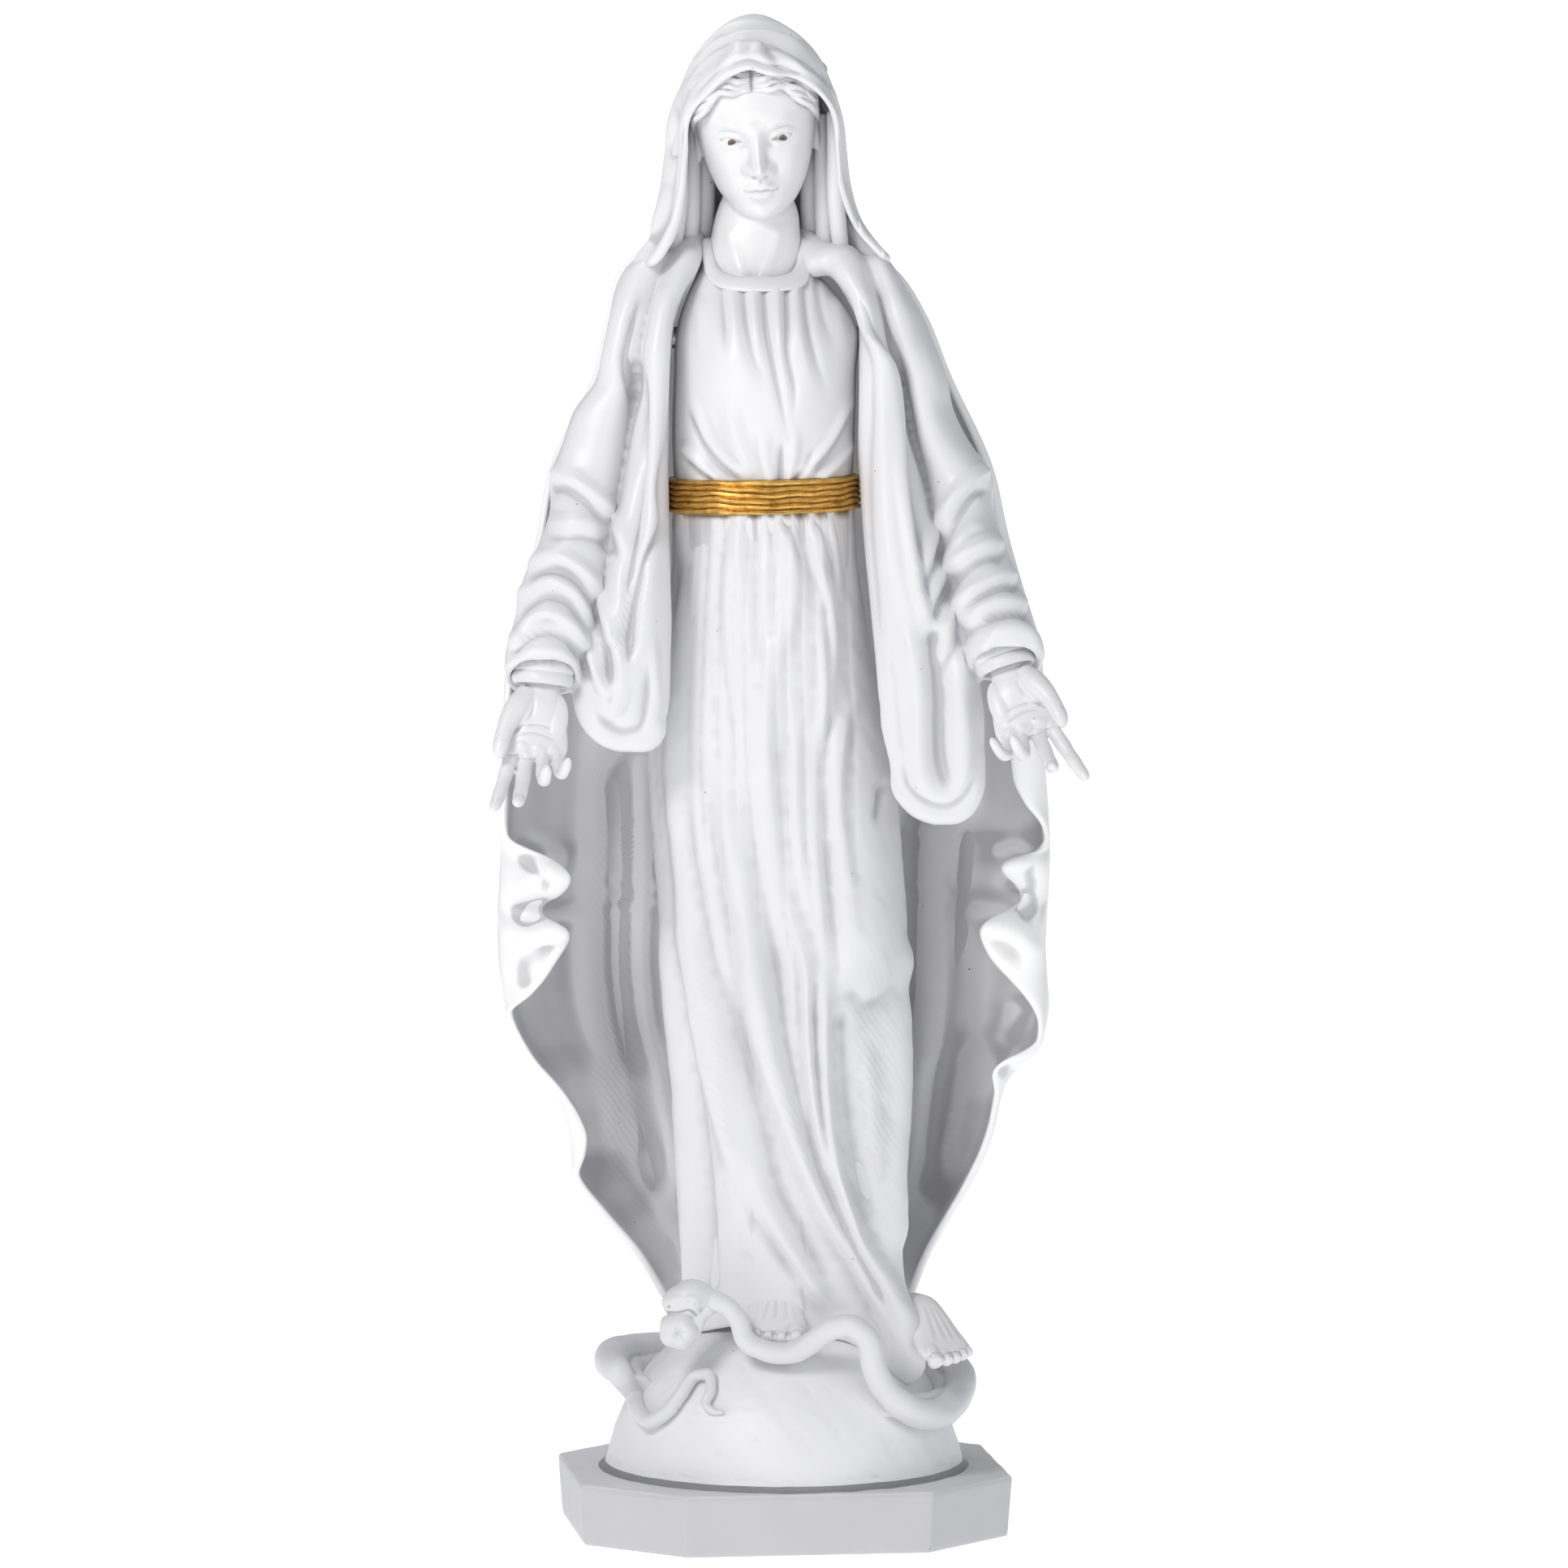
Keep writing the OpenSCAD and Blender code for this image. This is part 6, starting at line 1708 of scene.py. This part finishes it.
def foot(name, at, turn, tilt, long, inner, broad=1.0):
    """Bare foot pointing forward; inner is +1 when the big toe is towards her left."""
    n = 44
    t = np.linspace(0, 2 * math.pi, n, endpoint=False)
    rings = []
    for s in np.linspace(0, 0.86, 50):
        xc, zc, w, h = section(FOOT, s)
        rings.append(np.c_[xc + w * power(np.cos(t), 0.8), np.full(n, -s * long),
                           zc + h * power(np.sin(t), 0.8)])
    bodies = [tube_mesh(np.array(rings)[:, ::-1])]
    toes = [(24, 9.6, 26), (8, 7.6, 25), (-5.5, 7.0, 22), (-17.5, 6.6, 18), (-28.5, 6.0, 13)]
    nails = []
    for x, r, far in toes:
        x = x * inner
        root = -0.74 * long
        pts = [(x * 0.86, root, 12), (x * 0.97, root - far * 0.5, 11.5), (x, root - far * 0.9, 8.5),
               (x * 1.0, root - far * 1.15, 7)]
        way = curve(pts, 36)
        rad = r * hermite([0, 0.3, 0.55, 0.8, 0.93, 1], [1.0, 0.98, 0.88, 1.0, 0.8, 0.3],
                          np.linspace(0, 1, 36))
        bodies.append(tube_mesh(sweep_rings(way, rad, 24)))
        nails.append((x, root - far * 1.02, r))
    V, F = remesh(joined(*bodies), FOOT_VOXEL)
    Q = quad_array(F)
    V = relax(V, Q, 5)
    N = normals(V, Q)
    top = ramp(N[:, 2], 0.1, 0.6)
    for x, y, r in nails:
        dx = (V[:, 0] - x) / (r * 0.62)
        dy = (V[:, 1] - y) / (r * 0.80)
        e = np.maximum(np.abs(dx), np.abs(dy))
        V = V + N * ((0.9 * (1 - ramp(e, 0.75, 1.0)) - 0.8 * bump(e - 1.12, 0.16)) * top)[:, None]
    lines = [fold([(x * 0.3, -0.2 * long), (x * 0.8, -0.6 * long), (x, -0.8 * long)], 1.0, 3, 3, (0.3, 0.2))
             for x in (20 * inner, 6 * inner, -6 * inner, -18 * inner)]
    V = V + N * (relief(V[:, [0, 1]], lines) * top)[:, None]
    V = relax(V, Q, 1)
    # painted shade between the toes and in the creases
    tone = np.clip(2.5 * crease_shade(V, Q), 0, 1)
    ca, sa = math.cos(math.radians(tilt)), math.sin(math.radians(tilt))
    cb, sb = math.cos(math.radians(turn)), math.sin(math.radians(turn))
    tip = np.array([[1, 0, 0], [0, ca, -sa], [0, sa, ca]])
    yaw = np.array([[cb, -sb, 0], [sb, cb, 0], [0, 0, 1]])
    V = V * (broad, 1, 1) @ (yaw @ tip).T + np.array(at, float)
    return piece("foot_cast_" + name, V, F, SKIN_WHITE, nodes=["foot_" + name], hollow=tone)


# ---------- serpent and apple ----------
def on_globe(x, z, r):
    return (x, -math.sqrt(max(0, (GLOBE_R + r + 1.0) ** 2 - x * x - (z - GLOBE_Z) ** 2)), z)


SERPENT = [  # place and radius from the neck behind the head to the tip of the tail
    ((-106, -148, 294), 12), ((-86, -146, 292), 13.5), ((-67, -146, 284), 12), ((-53, -148, 268), 12),
    ((-45, -152, 246), 12.5), ((-18, -155, 232), 13), ((9, -155, 231), 13.5), ((33, -154, 243), 13.5),
    ((58, -158, 260), 13.5), ((80, -164, 264), 14), ((98, -166, 250), 14.5), ((106, -165, 218), 15),
    (on_globe(120, 187, 22), 16), (on_globe(144, 164, 20), 17.5), (on_globe(174, 151, 20), 18.5),
    (on_globe(199, 156, 21), 18.5), ((212, -22, 172), 18.5), ((210, 20, 181), 19), ((186, 84, 186), 20),
    ((140, 140, 190), 21), ((76, 178, 192), 22), ((0, 194, 194), 23), ((-78, 180, 192), 23),
    ((-144, 142, 190), 23),
    ((-186, 88, 194), 23), ((-204, 28, 199), 22), ((-205, -26, 198), 19), ((-194, -70, 191), 15),
    (on_globe(-182, 170, 11), 11.5), (on_globe(-172, 152, 9.5), 10), (on_globe(-158, 144, 9), 9.5),
    (on_globe(-142, 154, 8.5), 9), (on_globe(-122, 178, 8), 8.5), (on_globe(-104, 200, 7.5), 8),
    (on_globe(-90, 202, 7), 7.5), (on_globe(-86, 186, 6), 6.5), (on_globe(-92, 170, 5.5), 6),
    (on_globe(-82, 163, 4.5), 4.6), (on_globe(-70, 162, 3), 2.6)]
APPLE_AT = np.array((-124.0, -151.0, 257.0))


COIL_FILLS = [
    ([(-76, 162, 176), (-132, 126, 176), (-170, 76, 178), (-184, 20, 182), (-183, -30, 180),
      (-172, -66, 174)], 17), ([(120, -146, 168), (160, -108, 160), (188, -56, 158), (192, 10, 164),
                                (172, 72, 170), (128, 124, 174)], 16)]


def serpent():
    pts = np.array([p for p, _ in SERPENT], float)
    way = curve(pts, 420)
    s = np.r_[0, np.cumsum(np.linalg.norm(np.diff(pts, axis=0), axis=1))]
    rad = hermite(s, np.array([r for _, r in SERPENT], float), np.linspace(0, s[-1], 420))
    body = tube_mesh(sweep_rings(way, rad, 36))
    skull = curve([(-88, -146, 293), (-104, -147, 296), (-120, -150, 292), (-133, -151, 287),
                   (-142, -151, 283)], 40)
    wide = hermite([0, 0.3, 0.6, 0.85, 1.0], [12, 22, 20, 15, 7], np.linspace(0, 1, 40))
    jaw = curve([(-92, -146, 284), (-100, -147, 276), (-102, -149, 262), (-104, -151, 248)], 30)
    jaw_r = hermite([0, 0.5, 1], [13, 10, 4], np.linspace(0, 1, 30))
    # the casting is filled where the coils stand off the globe
    fills = [tube_mesh(sweep_rings(curve(line, 60), np.full(60, r), 30)) for line, r in COIL_FILLS]
    V, F = remesh(joined(body, tube_mesh(sweep_rings(skull, wide, 36)),
                         tube_mesh(sweep_rings(jaw, jaw_r, 30)), *fills), 1.75)
    Q = quad_array(F)
    V = relax(V, Q, 5)
    marks = [
        fold([(-140, 279), (-126, 279), (-112, 282), (-100, 274)], -3.2, 1.8, 2.6, (0.1, 0.2)),
        fold([(-142, 283), (-126, 284), (-110, 287)], 1.4, 2.4, 2.4, (0.1, 0.3)),
        fold([(-122, 296), (-110, 299), (-98, 297)], 1.6, 2.6, 2.6, (0.3, 0.3)),
        fold([(-138, 294), (-128, 297), (-118, 300)], 1.2, 2.4, 2.4, (0.3, 0.3))]
    pits = [(-136, 287, 1.9, 1.3, -2.2), (-104, 291, 5.2, 3.6, 2.0), (-104, 291, 2.4, 1.7, -2.6)]
    V, D = carve(V, Q, marks, pits)
    V = V + normals(V, Q) * (waver(V, 26, 61) * 0.35 + waver(V, 9, 62) * 0.10)[:, None]
    # painted shade in the creases and the sunk marks of the head
    return piece("serpent_cast", V, F, SHADED_BASE_WHITE, nodes=["serpent"],
                 hollow=1.5 * crease_shade(V, Q) + np.clip(-D * 0.2, 0, 0.7))


def apple():
    n = 96
    t = np.linspace(0, 2 * math.pi, n, endpoint=False)
    a = np.linspace(0.02, math.pi - 0.02, 90)
    rings = []
    for k in a:
        r = 23.5 * (1 + 0.05 * np.cos(5 * t) * math.sin(k) ** 2)
        dent = 7.5 * math.exp(-(k / 0.36) ** 2) + 3.0 * math.exp(-((math.pi - k) / 0.5) ** 2)
        star = 1.6 * np.exp(-((k - 0.20) / 0.13) ** 2) * np.maximum(0, np.cos(5 * t)) ** 2
        rr = r - dent + star
        rings.append(np.c_[rr * math.sin(k) * np.cos(t), -rr * math.cos(k), rr * math.sin(k) * np.sin(t)])
    V, F = tube_mesh(np.array(rings))
    V = V * (1.0, 0.92, 0.97)
    V = V + waver(V, 16, 71)[:, None] * 0.3 + APPLE_AT
    return piece("apple_cast", V, F, SHADED_BASE_WHITE, nodes=["apple"], flip=True)


hand("right")
hand("left")
foot("right", (-3, -38, 266), -5, 16, 112, 1, 1.16)
foot("left", (146, -26, 252), 30, 22, 124, -1)
serpent()
apple()


# ---------- setting ----------
def setting():
    scene = bpy.context.scene
    bpy.ops.mesh.primitive_plane_add(size=60, location=(0, 0, -0.0005))
    floor = bpy.context.object
    floor.name = "pale_floor"
    m, shader = nodes_of("pale_floor")[:2]
    shader.inputs["Base Color"].default_value = (0.45, 0.45, 0.45, 1)
    shader.inputs["Roughness"].default_value = 0.9
    shader.inputs["Emission Color"].default_value = (1, 1, 1, 1)
    shader.inputs["Emission Strength"].default_value = 0.88
    floor.data.materials.append(m)

    world = bpy.data.worlds.new("studio")
    scene.world = world
    world.use_nodes = True
    t = world.node_tree
    back = t.nodes["Background"]
    back.inputs["Color"].default_value = (0.93, 0.95, 1.0, 1)
    back.inputs["Strength"].default_value = 0.33
    white = t.nodes.new("ShaderNodeBackground")
    white.inputs["Color"].default_value = (1, 1, 1, 1)
    white.inputs["Strength"].default_value = 1.6
    path = t.nodes.new("ShaderNodeLightPath")
    mix = t.nodes.new("ShaderNodeMixShader")
    t.links.new(path.outputs["Is Camera Ray"], mix.inputs[0])
    t.links.new(back.outputs[0], mix.inputs[1])
    t.links.new(white.outputs[0], mix.inputs[2])
    t.links.new(mix.outputs[0], t.nodes["World Output"].inputs["Surface"])

    def lamp(name, spot, aim, size, watts, tint):
        data = bpy.data.lights.new(name, "AREA")
        data.size = size
        data.energy = watts
        data.color = tint
        o = bpy.data.objects.new(name, data)
        scene.collection.objects.link(o)
        o.location = spot
        way = np.array(aim) - np.array(spot)
        o.rotation_euler = Vector(way).to_track_quat("-Z", "Y").to_euler()

    lamp("key_softbox", (-2.3, -2.6, 3.1), (0, 0, 1.35), 1.3, 66, (1.0, 0.985, 0.97))
    lamp("fill_softbox", (2.8, -3.4, 1.9), (0, 0, 1.0), 2.2, 19, (0.95, 0.97, 1.0))
    lamp("low_softbox", (-1.3, -3.8, 1.0), (0, 0, 0.45), 1.6, 9, (1.0, 0.99, 0.98))
    lamp("top_softbox", (-0.6, 0.9, 3.6), (0, 0, 1.5), 1.4, 16, (1.0, 1.0, 1.0))

    cam = bpy.data.cameras.new("camera")
    cam.sensor_width = SENSOR
    cam.lens = LENS
    cam.shift_y = LOWER
    camera = bpy.data.objects.new("camera", cam)
    scene.collection.objects.link(camera)
    camera.location = CAMERA_AT
    camera.rotation_euler = CAMERA_TURN
    cam.clip_end = 200
    scene.camera = camera
    scene.view_settings.view_transform = "Standard"


CAMERA_AT = (-1.631, -12.393, 2.05)
CAMERA_TURN = (math.radians(90 - 5.28), 0.0, math.radians(-7.5))
LENS = 241.7
LOWER = -0.0013                       # shift of the lens
SENSOR = 36.0
setting()
